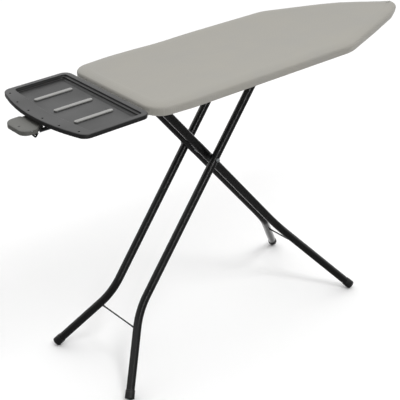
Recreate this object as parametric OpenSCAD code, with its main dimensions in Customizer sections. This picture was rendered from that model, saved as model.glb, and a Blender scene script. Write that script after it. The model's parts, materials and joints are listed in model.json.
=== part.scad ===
// Folding ironing board: a padded board on two crossing pairs of bent steel tubes,
// with a steam-iron rest and a height lever at its square end.
// +X points from the square end to the nose, +Y to the left, +Z up, and the floor is z = 0.
// Inside the modules x = 0 is the square end; place() moves the whole board over the origin.

/* [Board] */
// Length of the covered board, from the square end to the tip of the nose
board_length = 1240; // [1150:5:1350]
// Width of the covered board at its widest
board_width = 433; // [400:1:470]
// Height of the ironing surface above the floor
board_height = 962; // [940:1:1000]
// Depth of the covered edge, from the ironing surface to the hem
board_depth = 30; // [27:1:36]
// Radius of the cover's upper edge
edge_radius = 10; // [6:0.5:11]
// Width of the hem that is turned in under the board
hem_width = 34; // [20:1:44]
// Thickness of the cloth and its felt backing
cover_thickness = 1.2; // [0.8:0.1:2]
// Thickness of the pressed steel sheet of the board
sheet = 1; // [0.7:0.1:1.5]

/* [Leg frame] */
// Outside diameter of the leg tubes
tube_d = 27; // [22:1:30]
// Wall of the leg tubes
tube_wall = 1.2; // [1:0.1:2]
// Distance from the square end to the rear hinge axis
rear_hinge_x = 127; // [115:1:140]
// Distance from the square end to the front crossbar
crossbar_x = 525; // [515:1:535]
// Depth of the hinge axis and the crossbar below the ironing surface
hinge_drop = 62; // [60:1:64]
// Slope of the rear legs, from the horizontal
rear_slope = 49.5; // [47:0.1:52]
// Slope of the front legs, from the horizontal
front_slope = 54.1; // [52:0.1:57]
// Half the spacing of the rear tubes, which stand inside the front ones
rear_half_gauge = 34.4; // [33:0.1:35]
// Half the spacing of the front tubes
front_half_gauge = 71.2; // [70:0.1:73]
// Distance below the pivot at which the rear tubes turn outwards
rear_bend = 502; // [470:1:530]
// Distance below the pivot at which the front tubes turn outwards
front_bend = 540; // [500:1:560]
// Angle at which the rear tubes turn outwards
rear_flare = 26.7; // [22:0.1:30]
// Angle at which the front tubes turn outwards
front_flare = 27.5; // [22:0.1:30]
// Radius of the bends
bend_radius = 225; // [150:5:300]
// Diameter of the wire braces low down between the legs
brace_d = 5; // [4:0.5:6]

/* [Feet] */
// Length of a foot cap
foot_length = 28; // [22:1:36]
// Diameter of a foot cap at its floor end
foot_d = 31; // [30:0.5:34]

/* [Iron rest] */
// Width of the tray, across the board
tray_width = 408; // [380:1:430]
// Distance from the square end to the tray's outer corners
tray_reach = 236; // [230:1:250]
// How far the tray's outer edge bows out beyond its corners
tray_bow = 33; // [20:1:34]
// Height of the tray's edge
tray_edge = 13; // [11:0.5:16]
// Depth of the recess that the iron stands in
tray_recess = 11.5; // [9:0.5:12]
// Thickness of the tray
tray_skin = 2; // [1.5:0.1:2.5]
// Spacing of the three silicone strips
strip_pitch = 99; // [90:1:110]

/* [Height lever] */
// Width of the lever's grip
grip_width = 104; // [98:1:120]
// Length of the grip along its left side
grip_length = 59.5; // [54:0.5:60]
// Thickness of the grip
grip_thickness = 14.5; // [14:0.5:18]
// Diameter of the lever's rods
rod_d = 7; // [6:0.5:7]

/* [Hidden] */
$fn = 64;

left = 1;
right = -1;
gap = 0.3;      // between curved faces of pieces that move past each other
fit = 0.06;     // radial clearance of a pin that turns in its hole
seat = 0.05;    // radial clearance of a pin that is fixed in its hole
over = 1;       // how far a cutter runs past the face it opens
through = 100;  // half-length of a cutter across the whole board

// Heights, from the ironing surface down
cover_base = board_height - board_depth;
pad_base = board_height - 11;
pan_base = cover_base + 3;
pan_under = pad_base - sheet;
axis_z = board_height - hinge_drop;

// Leg frame: the pivot lies where the two slopes cross
tube_r = tube_d / 2;
foot_r = foot_d / 2;
pivot_dx = (crossbar_x - rear_hinge_x) / (1 + tan(rear_slope) / tan(front_slope));
pivot_x = rear_hinge_x + pivot_dx;
pivot_z = axis_z - pivot_dx * tan(rear_slope);
rear_top = (axis_z - pivot_z) / sin(rear_slope);
front_top = (axis_z - pivot_z) / sin(front_slope);
rear_overrun = 18;      // tube above the rear hinge axis
front_overrun = 14;     // tube above the front crossbar
foot_wall = 3;
bend_swell = 0.15;     // extra radius of the bends
bend_lap = 2;           // how far a straight runs into its bend
rear_foot_u = foot_end(rear_slope, rear_flare);
front_foot_u = foot_end(front_slope, front_flare);
rear_brace_u = 630;     // below the pivot
front_brace_u = 594;

// Round bars across the board
hinge_rod_r = 6;
hinge_tube_r = 9.5;
crossbar_r = 8;
axle_r = 4;
pivot_cap_r = 7;
lug_y = 60;             // inner face of the hinge bracket's lugs
lug_thickness = 3;

// Slide rails: the caps on the crossbar's ends have room above and below, and to each side
slide_cap_r = 9;
slide_cap_y = 99.5;     // inner end of a cap
slide_cap_length = 15;
rail_room = 3.5;
rail_wall = 2;
rail_inner_y = 98;
rail_outer_y = 120;
rail_start = crossbar_x - 22;
rail_end = crossbar_x + 265;

// Tray and its arms
tray_top = board_height - 7.5;
tray_base = tray_top - tray_edge;
tray_floor = tray_top - tray_recess;
tray_gap = 11;          // between the tray and the square end
side_rim = 16;          // flat rim beside the recess, at each end
outer_rim = 28;         // flat rim at the outer corners
board_rim = 18;         // flat rim beside the board
ledge_width = 8;        // step between the board's side of the rim and the recess
ledge_depth = 5.5;
tray_bow_r = 560;
recess_bow = 18;        // how far the recess bows out beyond its corners
recess_end = -tray_gap - board_rim - ledge_width;
vent_holes = [[-259, 35], [-251, 104], [-233, 171]];    // along the outer edge
vent_r = 3;
strip_shift = 2;        // of the middle strip, to the left
strip_ends = [-196, -65];
strip_width = 13;
strip_height = 5;
arm_y = 150;
arm_r = 5;
arm_z = cover_base - arm_r - 1;
arm_ends = [-205, 150];
saddle_length = 18;
saddle_width = 18;
saddle_below = 8;       // saddle under the arm's axis
tray_saddles = [-172, -60];
board_saddles = [55, 130];
screw_head_r = 4;
screw_head_height = 2.4;

// Lever: the rods run from the grip, under the tray, to the crossbar ahead of the hinge
grip_x = -335;
grip_shift = -2;        // of the grip's middle, to the left
grip_slant = 5.5;       // how much shorter the grip is along its right side
grip_base = board_height - 37.5;
rod_y = 45;
rod_grip_z = board_height - 33.2;
lever_bar_x = 75;
lever_bar_z = axis_z + 23.5;
lever_bar_r = 4;
rod_start_x = grip_x + 30;
stay_start_x = grip_x + 59;
rod_run = lever_bar_x - rod_start_x;
rod_tilt = atan2(rod_grip_z - lever_bar_z, rod_run);
plate = 2.5;            // thickness of the lever arms and racks
arm_plate_y = 50.2;     // inner face of the lever arms
rack_plate_y = arm_plate_y + plate;
rack_lap_x = crossbar_x - 41;
rack_lap_end = crossbar_x - 13;
rack_base = axis_z - 34;
rivet_x = (rack_lap_x + rack_lap_end) / 2;
rivet_z = [rack_base + 6, rack_base + 16];
rivet_r = 2.5;
rivet_head_r = 4;
hinge_boss_r = 13;
bar_boss_r = 9;
tooth_tip = axis_z - crossbar_r - 3.6;
tooth_pitch = 28;
tooth_count = 6;

// Safety catch: a wire bail that hangs from a clip under the grip's right corner
bail_y = -46;
bail_z = grip_base - 3;
bail_wire_r = 1.7;
bail_x = [grip_x + 32.5, grip_x + 52.5];
bail_drop = 11;
clip_inset = 7;         // from each end of the bail to the clip
clip_width = 5.2;
clip_depth = 6;

// Half the length between the two ends of the whole object, for the origin
middle_x = (board_length + grip_x) / 2;

// ---- Outlines ----

function unit(v) = v / norm(v);
function flat(corner) = [corner[0], corner[1]];

// One rounded corner [x, y, radius] of a convex outline that runs anticlockwise,
// as points [x, y, normal x, normal y]
function corner_arc(before, here, after) =
    let (
        inward = unit(flat(here) - flat(before)),
        onward = unit(flat(after) - flat(here)),
        turn = acos(inward * onward),
        start = flat(here) - inward * here[2] * tan(turn / 2),
        centre = start + here[2] * [-inward[1], inward[0]],
        first = atan2(-inward[0], inward[1]),
        steps = max(2, ceil(turn / 7))
    )
    [for (i = [0:steps])
        let (a = first + turn * i / steps)
        [centre[0] + here[2] * cos(a), centre[1] + here[2] * sin(a), cos(a), sin(a)]];

function outline(corners) =
    let (n = len(corners))
    [for (i = [0:n - 1]) each corner_arc(corners[(i + n - 1) % n], corners[i], corners[(i + 1) % n])];

function mirrored(half) =
    concat(half, [for (i = [len(half) - 1:-1:0]) [half[i][0], -half[i][1], half[i][2]]]);

function inset(path, depth) = [for (p = path) [p[0] - depth * p[2], p[1] - depth * p[3]]];
function ring(path, depth, z) = [for (p = inset(path, depth)) [p[0], p[1], z]];

// Right-hand half of the board, from the square end's corner to the nose
board_half = board_width / 2;
board_path = outline(mirrored([
    [0, -(board_half - 10), 62],
    [140, -(board_half + 0.5), 400],
    [board_length - 440, -(board_half - 3), 140],
    [board_length - 253, -(board_half - 73), 500],
    [board_length - 99, -(board_half - 134.5), 156],
    [board_length, -22, 38]
]));

tray_half = tray_width / 2;
tray_path = outline(concat(
    [[-tray_reach, -tray_half, 30], [-tray_gap, -tray_half, 26]],
    [[-tray_gap, tray_half, 26], [-tray_reach, tray_half, 30]],
    [[-tray_reach - 2 * tray_bow, 0, tray_bow_r]]
));
recess_path = outline([
    [outer_rim - tray_reach, side_rim - tray_half, 12], [recess_end, side_rim - tray_half, 10],
    [recess_end, tray_half - side_rim, 10], [outer_rim - tray_reach, tray_half - side_rim, 12],
    [outer_rim - tray_reach - recess_bow, 0, 400]
]);

grip_left = grip_shift + grip_width / 2;
grip_right = grip_shift - grip_width / 2;
grip_path = outline([
    [grip_x, grip_right, 26], [grip_x + grip_length - grip_slant, grip_right, 12],
    [grip_x + grip_length, grip_left, 9], [grip_x, grip_left, 32]
]);

// The low part of the grip that runs in under the tray, and stays clear of it when the lever is raised
tongue_path = outline([
    [grip_x + 35, -38, 3], [grip_x + 76, -38, 3], [grip_x + 76, grip_left, 3], [grip_x + 35, grip_left, 3]
]);

// ---- Shared shapes ----

module place() translate([-middle_x, 0, 0]) children();

// A closed solid through rings of equal count, each anticlockwise from above
module skin(rings) {
    n = len(rings[0]);
    last = (len(rings) - 1) * n;
    polyhedron(
        points = [for (r = rings) each r],
        faces = concat(
            [[for (i = [0:n - 1]) i]],
            [for (j = [0:len(rings) - 2], i = [0:n - 1], half = [0, 1])
                let (a = j * n + i, b = j * n + (i + 1) % n)
                half == 0 ? [a, a + n, b + n] : [a, b + n, b]],
            [[for (i = [n - 1:-1:0]) last + i]]
        )
    );
}

module slab(path, depth, z0, z1) {
    translate([0, 0, z0]) linear_extrude(z1 - z0) polygon(inset(path, depth));
}

// A bar across the board, centred on y = 0
module cross_rod(x, z, r, half_length) {
    translate([x, -half_length, z]) rotate([-90, 0, 0]) cylinder(r = r, h = 2 * half_length);
}

// A round piece along Y on one side of the board, from y0 outwards to y1
module side_rod(side, x, z, r, y0, y1) {
    translate([x, side * (side > 0 ? y0 : y1), z]) rotate([-90, 0, 0]) cylinder(r = r, h = y1 - y0);
}

// A flat plate in the XZ plane on one side of the board, from y0 outwards
module side_plate(side, y0, thickness) {
    translate([0, side > 0 ? y0 + thickness : -y0, 0])
        rotate([90, 0, 0]) linear_extrude(thickness) children();
}

// Board edges

function edge_rings(path, depth, radius, z_top) =
    [for (a = [0:15:90]) ring(path, depth + radius * (1 - cos(a)), z_top - radius + radius * sin(a))];

function reversed(list) = [for (i = [len(list) - 1:-1:0]) list[i]];

// ---- Leg tubes ----

// Where the foot must end, down the leg from the pivot, for its rim to touch the floor
function foot_end(slope, flare) =
    (pivot_z - foot_r * sqrt(1 - pow(cos(flare) * sin(slope), 2))) / sin(slope);

function bend_start(bend, flare) = bend - bend_radius * tan(flare / 2);
function flare_u(bend, flare) = bend_start(bend, flare) + bend_radius * sin(flare);
function flare_v(gauge, flare) = gauge + bend_radius * (1 - cos(flare));
function flare_length(bend, flare, end_u) = (end_u - flare_u(bend, flare)) / cos(flare);

// Children are drawn with X down the leg from the pivot and Y towards the leg's own side
module rear_frame(side) {
    translate([pivot_x, 0, pivot_z]) rotate([0, rear_slope, 0]) mirror([0, side > 0 ? 0 : 1, 0]) children();
}

module front_frame(side) {
    translate([pivot_x, 0, pivot_z]) rotate([0, 180 - front_slope, 0])
        mirror([0, side > 0 ? 0 : 1, 0]) children();
}

module along_flare(gauge, bend, flare) {
    translate([flare_u(bend, flare), flare_v(gauge, flare), 0]) rotate([0, 0, flare]) rotate([0, 90, 0]) children();
}

// A bar of radius r along a leg: straight, bent outwards, and straight to the foot.
// The bend is a hair thicker than the straights, which run a little way into it.
module bent_bar(r, top, gauge, bend, flare, length) {
    start = bend_start(bend, flare);
    translate([-top, gauge, 0]) rotate([0, 90, 0]) cylinder(r = r, h = top + start + bend_lap);
    translate([start, gauge + bend_radius, 0]) rotate([0, 0, -90])
        rotate_extrude(angle = flare, $fn = 128) translate([bend_radius, 0]) circle(r = r + bend_swell);
    along_flare(gauge, bend, flare) translate([0, 0, -bend_lap]) cylinder(r = r, h = length + bend_lap);
}

module bent_tube(top, gauge, bend, flare, end_u) {
    length = flare_length(bend, flare, end_u) - foot_wall;
    difference() {
        bent_bar(tube_r, top, gauge, bend, flare, length);
        bent_bar(tube_r - tube_wall, top + over, gauge, bend, flare, length + over);
    }
}

module leg_bore(u, r) {
    translate([u, 0, 0]) rotate([-90, 0, 0]) cylinder(r = r, h = 200);
}

module rear_leg(side) {
    color("#1b1b1c") place() rear_frame(side) difference() {
        bent_tube(rear_top + rear_overrun, rear_half_gauge, rear_bend, rear_flare, rear_foot_u);
        leg_bore(-rear_top, hinge_tube_r + seat);
        leg_bore(0, axle_r + seat);
    }
}

module front_leg(side) {
    color("#1b1b1c") place() front_frame(side) difference() {
        bent_tube(front_top + front_overrun, front_half_gauge, front_bend, front_flare, front_foot_u);
        leg_bore(-front_top, crossbar_r + seat);
        leg_bore(0, axle_r + fit);
    }
}

module foot_cap(length) {
    difference() {
        translate([0, 0, length - foot_length]) cylinder(r1 = tube_r + 1.3, r2 = foot_r, h = foot_length);
        translate([0, 0, length - foot_length - over]) cylinder(r = tube_r, h = foot_length - foot_wall + over);
    }
}

module rear_foot(side) {
    color("#141414") place() rear_frame(side) along_flare(rear_half_gauge, rear_bend, rear_flare)
        foot_cap(flare_length(rear_bend, rear_flare, rear_foot_u));
}

module front_foot(side) {
    color("#141414") place() front_frame(side) along_flare(front_half_gauge, front_bend, front_flare)
        foot_cap(flare_length(front_bend, front_flare, front_foot_u));
}

// A plug in a tube's upper end: a rim that covers the wall, and a spigot
module tube_plug(end_u, gauge) {
    translate([-end_u, gauge, 0]) rotate([0, -90, 0]) cylinder(r = tube_r, h = 2);
    translate([-end_u, gauge, 0]) rotate([0, 90, 0]) cylinder(r = tube_r - tube_wall - seat, h = 4);
}

// A wire between the flared parts of a pair of legs, ending against their inner sides
module brace_wire(u, gauge, bend, flare) {
    v = flare_v(gauge, flare) + (u - flare_u(bend, flare)) * tan(flare);
    difference() {
        translate([u, -v, 0]) rotate([-90, 0, 0]) cylinder(r = brace_d / 2, h = 2 * v);
        for (side = [0, 1]) mirror([0, side, 0])
            along_flare(gauge, bend, flare) translate([0, 0, -20]) cylinder(r = tube_r + bend_swell, h = 200);
    }
}

// ---- Board ----

module board_cover() {
    outer = concat(
        [ring(board_path, hem_width, cover_base), ring(board_path, 2, cover_base),
         ring(board_path, 0.6, cover_base + 0.6), ring(board_path, 0, cover_base + 2)],
        edge_rings(board_path, 0, edge_radius, board_height)
    );
    inner_radius = edge_radius - cover_thickness;
    inner = concat(
        [ring(board_path, hem_width, cover_base + cover_thickness),
         ring(board_path, cover_thickness, cover_base + cover_thickness)],
        edge_rings(board_path, cover_thickness, inner_radius, board_height - cover_thickness)
    );
    color("#b0aea8") place() skin(concat(reversed(inner), outer));
}

module foam_pad() {
    pad_radius = edge_radius - cover_thickness - 1;
    pad_top = board_height - cover_thickness - 0.4;
    color("#d8d4c8") place() skin(concat(
        [ring(board_path, cover_thickness + 1.2, pad_base)],
        edge_rings(board_path, cover_thickness + 1.2, pad_radius, pad_top)
    ));
}

// A sheet with a turned-down wall and a lip that turns in under it
module board_pan() {
    wall_depth = cover_thickness + 1;
    lip = 12;
    color("#8d8f90") place() difference() {
        slab(board_path, wall_depth, pan_base, pad_base);
        slab(board_path, wall_depth + sheet, pan_base + sheet, pan_under);
        slab(board_path, wall_depth + lip, pan_base - over, pan_base + 2 * sheet);
    }
}

module hinge_bracket() {
    length = 60;
    lug_r = 13;
    color("#232323") place() difference() {
        union() {
            translate([rear_hinge_x - length / 2, -lug_y - lug_thickness, pan_under - 2])
                cube([length, 2 * (lug_y + lug_thickness), 2]);
            for (side = [left, right]) side_plate(side, lug_y, lug_thickness) union() {
                translate([rear_hinge_x, axis_z]) circle(r = lug_r);
                polygon([
                    [rear_hinge_x - lug_r, axis_z], [rear_hinge_x + lug_r, axis_z],
                    [rear_hinge_x + length / 2, pan_under - 2 + over],
                    [rear_hinge_x - length / 2, pan_under - 2 + over]
                ]);
            }
        }
        cross_rod(rear_hinge_x, axis_z, hinge_rod_r + seat, through);
    }
}

module hinge_rod() {
    end_y = lug_y + lug_thickness + 0.2;
    color("#9a9c9e") place() union() {
        cross_rod(rear_hinge_x, axis_z, hinge_rod_r, end_y);
        for (side = [left, right])
            side_rod(side, rear_hinge_x, axis_z, hinge_rod_r + 2.5, end_y, end_y + 2.5);
    }
}

// A channel that opens inwards, with its ends turned in as stops
module slide_rail(side) {
    half = slide_cap_r + rail_room;
    low = axis_z - half - rail_wall;
    high = axis_z + half + rail_wall;
    color("#262626") place() difference() {
        translate([rail_start, side > 0 ? rail_inner_y : -rail_outer_y, low])
            cube([rail_end - rail_start, rail_outer_y - rail_inner_y, high - low]);
        translate([
            rail_start + rail_wall,
            side > 0 ? rail_inner_y - over : rail_wall - rail_outer_y,
            low + rail_wall
        ])
            cube([rail_end - rail_start - 2 * rail_wall, rail_outer_y - rail_inner_y - rail_wall + over, 2 * half]);
    }
}

// Channel pieces that hang the rails from the pan
module rail_hangers() {
    length = 30;
    low = axis_z + slide_cap_r + rail_room + rail_wall;
    width = rail_outer_y - rail_inner_y;
    color("#262626") place()
        for (side = [left, right], x = [rail_start + 5, rail_end - 5 - length])
            translate([x, side > 0 ? rail_inner_y : -rail_outer_y, low]) difference() {
                cube([length, width, pan_under - low]);
                translate([-over, side > 0 ? -over : rail_wall, rail_wall])
                    cube([length + 2 * over, width - rail_wall + over, pan_under - low - 2 * rail_wall]);
            }
}

// ---- Iron rest ----

// A pressed tray: raised edge, ledge beside the board, recessed floor and a hollow rim
module iron_tray() {
    ledge_run = tray_width - 2 * side_rim;
    color("#656564") place() difference() {
        slab(tray_path, 0, tray_base, tray_top);
        slab(recess_path, 0, tray_floor, tray_top + over);
        // ledge beside the board
        translate([recess_end, -ledge_run / 2, tray_top - ledge_depth])
            cube([ledge_width, ledge_run, ledge_depth + over]);
        // hollow under the rim
        difference() {
            slab(tray_path, tray_skin, tray_base - over, tray_top - tray_skin);
            slab(recess_path, -tray_skin, tray_base - 2 * over, tray_top);
            translate([recess_end - tray_skin, -ledge_run / 2 - tray_skin, tray_base - 2 * over]) cube([
                ledge_width + 2 * tray_skin, ledge_run + 2 * tray_skin,
                tray_edge - ledge_depth - tray_skin + 3 * over
            ]);
        }
        slab(recess_path, -tray_skin - 0.01, tray_base - over, tray_floor - tray_skin);
        for (side = [left, right], hole = vent_holes)
            translate([hole[0], side * hole[1], tray_base - over])
                cylinder(r = vent_r, h = tray_edge + 2 * over);
    }
}

module heat_strips() {
    from = strip_ends[0] + strip_width / 2;
    to = strip_ends[1] - strip_width / 2;
    color("#b4b4b2") place() for (row = [-1, 0, 1])
        translate([0, row * strip_pitch + strip_shift, tray_floor]) linear_extrude(strip_height) {
            for (x = [from, to]) translate([x, 0]) circle(d = strip_width);
            translate([from, -strip_width / 2]) square([to - from, strip_width]);
        }
}

module tray_arm(side) {
    color("#1e1e1f") place() translate([arm_ends[0], side * arm_y, arm_z]) rotate([0, 90, 0])
        cylinder(r = arm_r, h = arm_ends[1] - arm_ends[0]);
}

// A block that holds the arm, from below its axis up to the piece that it is fixed to
module saddle(x, side, top) {
    translate([x - saddle_length / 2, side * arm_y - saddle_width / 2, arm_z - saddle_below])
    difference() {
        cube([saddle_length, saddle_width, top - arm_z + saddle_below]);
        translate([-over, saddle_width / 2, saddle_below]) rotate([0, 90, 0])
            cylinder(r = arm_r + seat, h = saddle_length + 2 * over);
    }
}

module tray_clips() {
    color("#2a2a2a") place() for (side = [left, right], x = tray_saddles)
        saddle(x, side, tray_floor - tray_skin);
}

module arm_brackets() {
    color("#303030") place() for (side = [left, right], x = board_saddles) saddle(x, side, pan_under);
}

module saddle_screws() {
    color("#a8aaac") place() for (side = [left, right], x = concat(tray_saddles, board_saddles))
        translate([x, side * arm_y, arm_z - saddle_below - screw_head_height])
            cylinder(r = screw_head_r, h = screw_head_height);
}

// ---- Height lever ----

// Three close turns of wire round the hinge rod, between the right lever arm and its lug,
// with one end over the bracket's plate side and the other under the lever arm
module lever_spring() {
    coil_r = hinge_rod_r + 2.4;
    wire_r = 0.9;
    tang = 22;
    first_y = 54.6;
    color("#b9bbbd") place() union() {
        for (turn = [0:2]) translate([rear_hinge_x, -first_y - turn * 1.7, axis_z]) rotate([90, 0, 0])
            rotate_extrude() translate([coil_r, 0]) circle(r = wire_r, $fn = 16);
        for (end = [[0, -1], [2, 1]])
            translate([rear_hinge_x, -first_y - end[0] * 1.7, axis_z + end[1] * coil_r]) rotate([0, 90, 0])
                cylinder(r = wire_r - 0.1, h = tang, $fn = 16);
    }
}

module rod_line() {
    translate([rod_start_x, 0, rod_grip_z]) rotate([0, 90 + rod_tilt, 0]) children();
}

module lever_rod(side) {
    color("#1a1a1a") place() difference() {
        translate([0, side * rod_y, 0]) rod_line() cylinder(r = rod_d / 2, h = rod_run);
        cross_rod(lever_bar_x, lever_bar_z, lever_bar_r, 60);
    }
}

// A flat handle with a chamfered edge, pushed on to both rods
module lever_grip() {
    chamfer = 2.5;
    top = grip_base + grip_thickness;
    color("#787874") place() difference() {
        union() {
            slab(grip_path, 0, grip_base + 1.5, top - chamfer);
            slab(grip_path, 1.2, grip_base, top - chamfer / 2);
            slab(grip_path, chamfer, grip_base, top);
            slab(tongue_path, 0, grip_base + 0.5, grip_base + 10);
        }
        for (side = [left, right]) translate([0, side * rod_y, 0]) rod_line()
            cylinder(r = rod_d / 2 + seat, h = rod_run);
        translate([grip_x + 15, -10, top - 1.5]) cylinder(r = 2.6, h = 2);
    }
}

module grip_screw() {
    color("#2c2c2c") place() translate([grip_x + 15, -10, grip_base + grip_thickness - 1.5])
        cylinder(r = 2.5, h = 1);
}

// A bright wire under the right rod, from the grip to the lever's crossbar
module stay_wire() {
    wire_r = 2.5;
    start = stay_start_x - rod_start_x;
    color("#c0c2c4") place() difference() {
        translate([0, -rod_y, -rod_d / 2 - wire_r - 0.1]) rod_line()
            translate([0, 0, start]) cylinder(r = wire_r, h = rod_run - start);
        cross_rod(lever_bar_x, lever_bar_z, lever_bar_r, 60);
    }
}

module catch_clip() {
    color("#161616") place() difference() {
        translate([bail_x[0] + clip_inset, bail_y - clip_width / 2, grip_base - clip_depth])
            cube([bail_x[1] - bail_x[0] - 2 * clip_inset, clip_width, clip_depth]);
        translate([bail_x[0], bail_y, bail_z]) rotate([0, 90, 0])
            cylinder(r = bail_wire_r + fit, h = bail_x[1] - bail_x[0]);
    }
}

// A straight wire between two points, with a round knee at each end
module wire(a, b, r) {
    run = b - a;
    translate(a) rotate([0, acos(run[2] / norm(run)), atan2(run[1], run[0])]) cylinder(r = r, h = norm(run), $fn = 24);
    for (p = [a, b]) translate(p) sphere(r = r + 0.1, $fn = 24);
}

module catch_bail() {
    ends = [for (x = bail_x) [x, bail_y, bail_z]];
    tip = [(bail_x[0] + bail_x[1]) / 2 + 1, bail_y, bail_z - bail_drop];
    color("#101010") place() union() {
        wire(ends[0], ends[1], bail_wire_r);
        wire(ends[0], tip, bail_wire_r);
        wire(ends[1], tip, bail_wire_r);
    }
}

module lever_crossbar() {
    color("#9a9c9e") place() cross_rod(lever_bar_x, lever_bar_z, lever_bar_r, rack_plate_y + 1.5);
}

// A flat arm from the lever's crossbar, over the hinge rod and down to the rack
module lever_arm(side) {
    color("#8f9193") place() difference() {
        union() {
            side_rod(side, rear_hinge_x, axis_z, hinge_boss_r, arm_plate_y, rack_plate_y);
            side_rod(side, lever_bar_x, lever_bar_z, bar_boss_r, arm_plate_y, rack_plate_y);
            side_plate(side, arm_plate_y, plate) polygon([
                [lever_bar_x - 5, lever_bar_z - 5.5], [lever_bar_x, lever_bar_z + 8],
                [rear_hinge_x + 8, axis_z + 21], [rack_lap_end, axis_z + 21],
                [rack_lap_end, rack_base], [rack_lap_x, rack_base],
                [rack_lap_x, axis_z + 6], [rear_hinge_x + 16, axis_z + 6],
                [rear_hinge_x, axis_z - 11]
            ]);
        }
        cross_rod(rear_hinge_x, axis_z, hinge_rod_r + fit, through);
        cross_rod(lever_bar_x, lever_bar_z, lever_bar_r + seat, through);
        for (z = rivet_z) cross_rod(rivet_x, z, rivet_r, through);
    }
}

// A notched bar that passes below the front crossbar
module height_rack(side) {
    length = rack_lap_end + 8 + (tooth_count + 0.5) * tooth_pitch - rack_lap_x;
    color("#8f9193") place() difference() {
        side_plate(side, rack_plate_y, plate) difference() {
            translate([rack_lap_x, rack_base]) square([length, tooth_tip - rack_base]);
            for (i = [0:tooth_count])
                translate([crossbar_x + i * tooth_pitch, tooth_tip + 1]) circle(r = crossbar_r + 1);
        }
        for (z = rivet_z) cross_rod(rivet_x, z, rivet_r, through);
    }
}

module rack_rivets() {
    color("#b9bbbd") place() for (side = [left, right], z = rivet_z) union() {
        side_rod(side, rivet_x, z, rivet_r - seat, arm_plate_y - 0.5, rack_plate_y + plate + 0.5);
        side_rod(side, rivet_x, z, rivet_head_r, arm_plate_y - 1.2, arm_plate_y);
        side_rod(side, rivet_x, z, rivet_head_r, rack_plate_y + plate, rack_plate_y + plate + 1.2);
    }
}

// ---- Leg frame hardware ----

module rear_hinge_tube() {
    half = arm_plate_y - 1.7;
    color("#1b1b1c") place() difference() {
        cross_rod(rear_hinge_x, axis_z, hinge_tube_r, half);
        cross_rod(rear_hinge_x, axis_z, hinge_rod_r + fit, half + over);
    }
}

module rear_leg_plugs() {
    color("#141414") place() for (side = [left, right]) rear_frame(side)
        tube_plug(rear_top + rear_overrun, rear_half_gauge);
}

module front_leg_plugs() {
    color("#141414") place() for (side = [left, right]) front_frame(side)
        tube_plug(front_top + front_overrun, front_half_gauge);
}

module rear_brace() {
    color("#151515") place() rear_frame(left) brace_wire(rear_brace_u, rear_half_gauge, rear_bend, rear_flare);
}

module front_brace() {
    color("#151515") place() front_frame(left) brace_wire(front_brace_u, front_half_gauge, front_bend, front_flare);
}

// The axle is threaded at its ends, which the cap nuts close
axle_end = front_half_gauge + tube_r + 5;

module pivot_axle() {
    color("#9a9c9e") place() cross_rod(pivot_x, pivot_z, axle_r, axle_end);
}

module axle_sleeve() {
    half = rear_half_gauge - tube_r - 0.1;
    color("#84868a") place() difference() {
        cross_rod(pivot_x, pivot_z, 6.5, half);
        cross_rod(pivot_x, pivot_z, axle_r + seat, half + over);
    }
}

module pivot_spacers() {
    color("#55565a") place() for (side = [left, right]) difference() {
        side_rod(side, pivot_x, pivot_z, 10, rear_half_gauge + tube_r + 0.1, front_half_gauge - tube_r - gap);
        cross_rod(pivot_x, pivot_z, axle_r + seat, through);
    }
}

module pivot_caps() {
    face = front_half_gauge + tube_r + gap;
    color("#a2a4a6") place() for (side = [left, right]) difference() {
        union() {
            side_rod(side, pivot_x, pivot_z, pivot_cap_r, face, face + 3);
            side_rod(side, pivot_x, pivot_z, pivot_cap_r - 1.2, face + 3, face + 6.5);
        }
        side_rod(side, pivot_x, pivot_z, axle_r + seat, face - over, axle_end + 0.1);
    }
}

module front_crossbar() {
    half = slide_cap_y + slide_cap_length - 2.5;
    color("#1b1b1c") place() difference() {
        cross_rod(crossbar_x, axis_z, crossbar_r, half);
        cross_rod(crossbar_x, axis_z, crossbar_r - 1.5, half + over);
    }
}

module slide_caps() {
    color("#d9d9d4") place() for (side = [left, right]) difference() {
        side_rod(side, crossbar_x, axis_z, slide_cap_r, slide_cap_y, slide_cap_y + slide_cap_length);
        side_rod(side, crossbar_x, axis_z, crossbar_r, slide_cap_y - over, slide_cap_y + slide_cap_length - 2.5);
    }
}

board_cover();
foam_pad();
board_pan();
hinge_bracket();
hinge_rod();
slide_rail(left);  // slide_rail_left
slide_rail(right);  // slide_rail_right
rail_hangers();
iron_tray();
heat_strips();
tray_arm(left);  // tray_arm_left
tray_arm(right);  // tray_arm_right
tray_clips();
arm_brackets();
saddle_screws();
lever_spring();
lever_grip();
grip_screw();
lever_rod(left);  // lever_rod_left
lever_rod(right);  // lever_rod_right
stay_wire();
catch_clip();
lever_crossbar();
lever_arm(left);  // lever_arm_left
lever_arm(right);  // lever_arm_right
height_rack(left);  // height_rack_left
height_rack(right);  // height_rack_right
rack_rivets();
catch_bail();
rear_leg(left);  // rear_leg_left
rear_leg(right);  // rear_leg_right
rear_hinge_tube();
rear_leg_plugs();
rear_brace();
rear_foot(left);  // rear_foot_left
rear_foot(right);  // rear_foot_right
pivot_axle();
axle_sleeve();
pivot_spacers();
pivot_caps();
front_leg(left);  // front_leg_left
front_leg(right);  // front_leg_right
front_crossbar();
slide_caps();
front_leg_plugs();
front_brace();
front_foot(left);  // front_foot_left
front_foot(right);  // front_foot_right
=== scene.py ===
"""Folding ironing board with a padded cover, crossed tube legs, an iron rest and a height lever."""
import json
import math

import bmesh
import bpy
from mathutils import Matrix, Vector, noise


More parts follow.
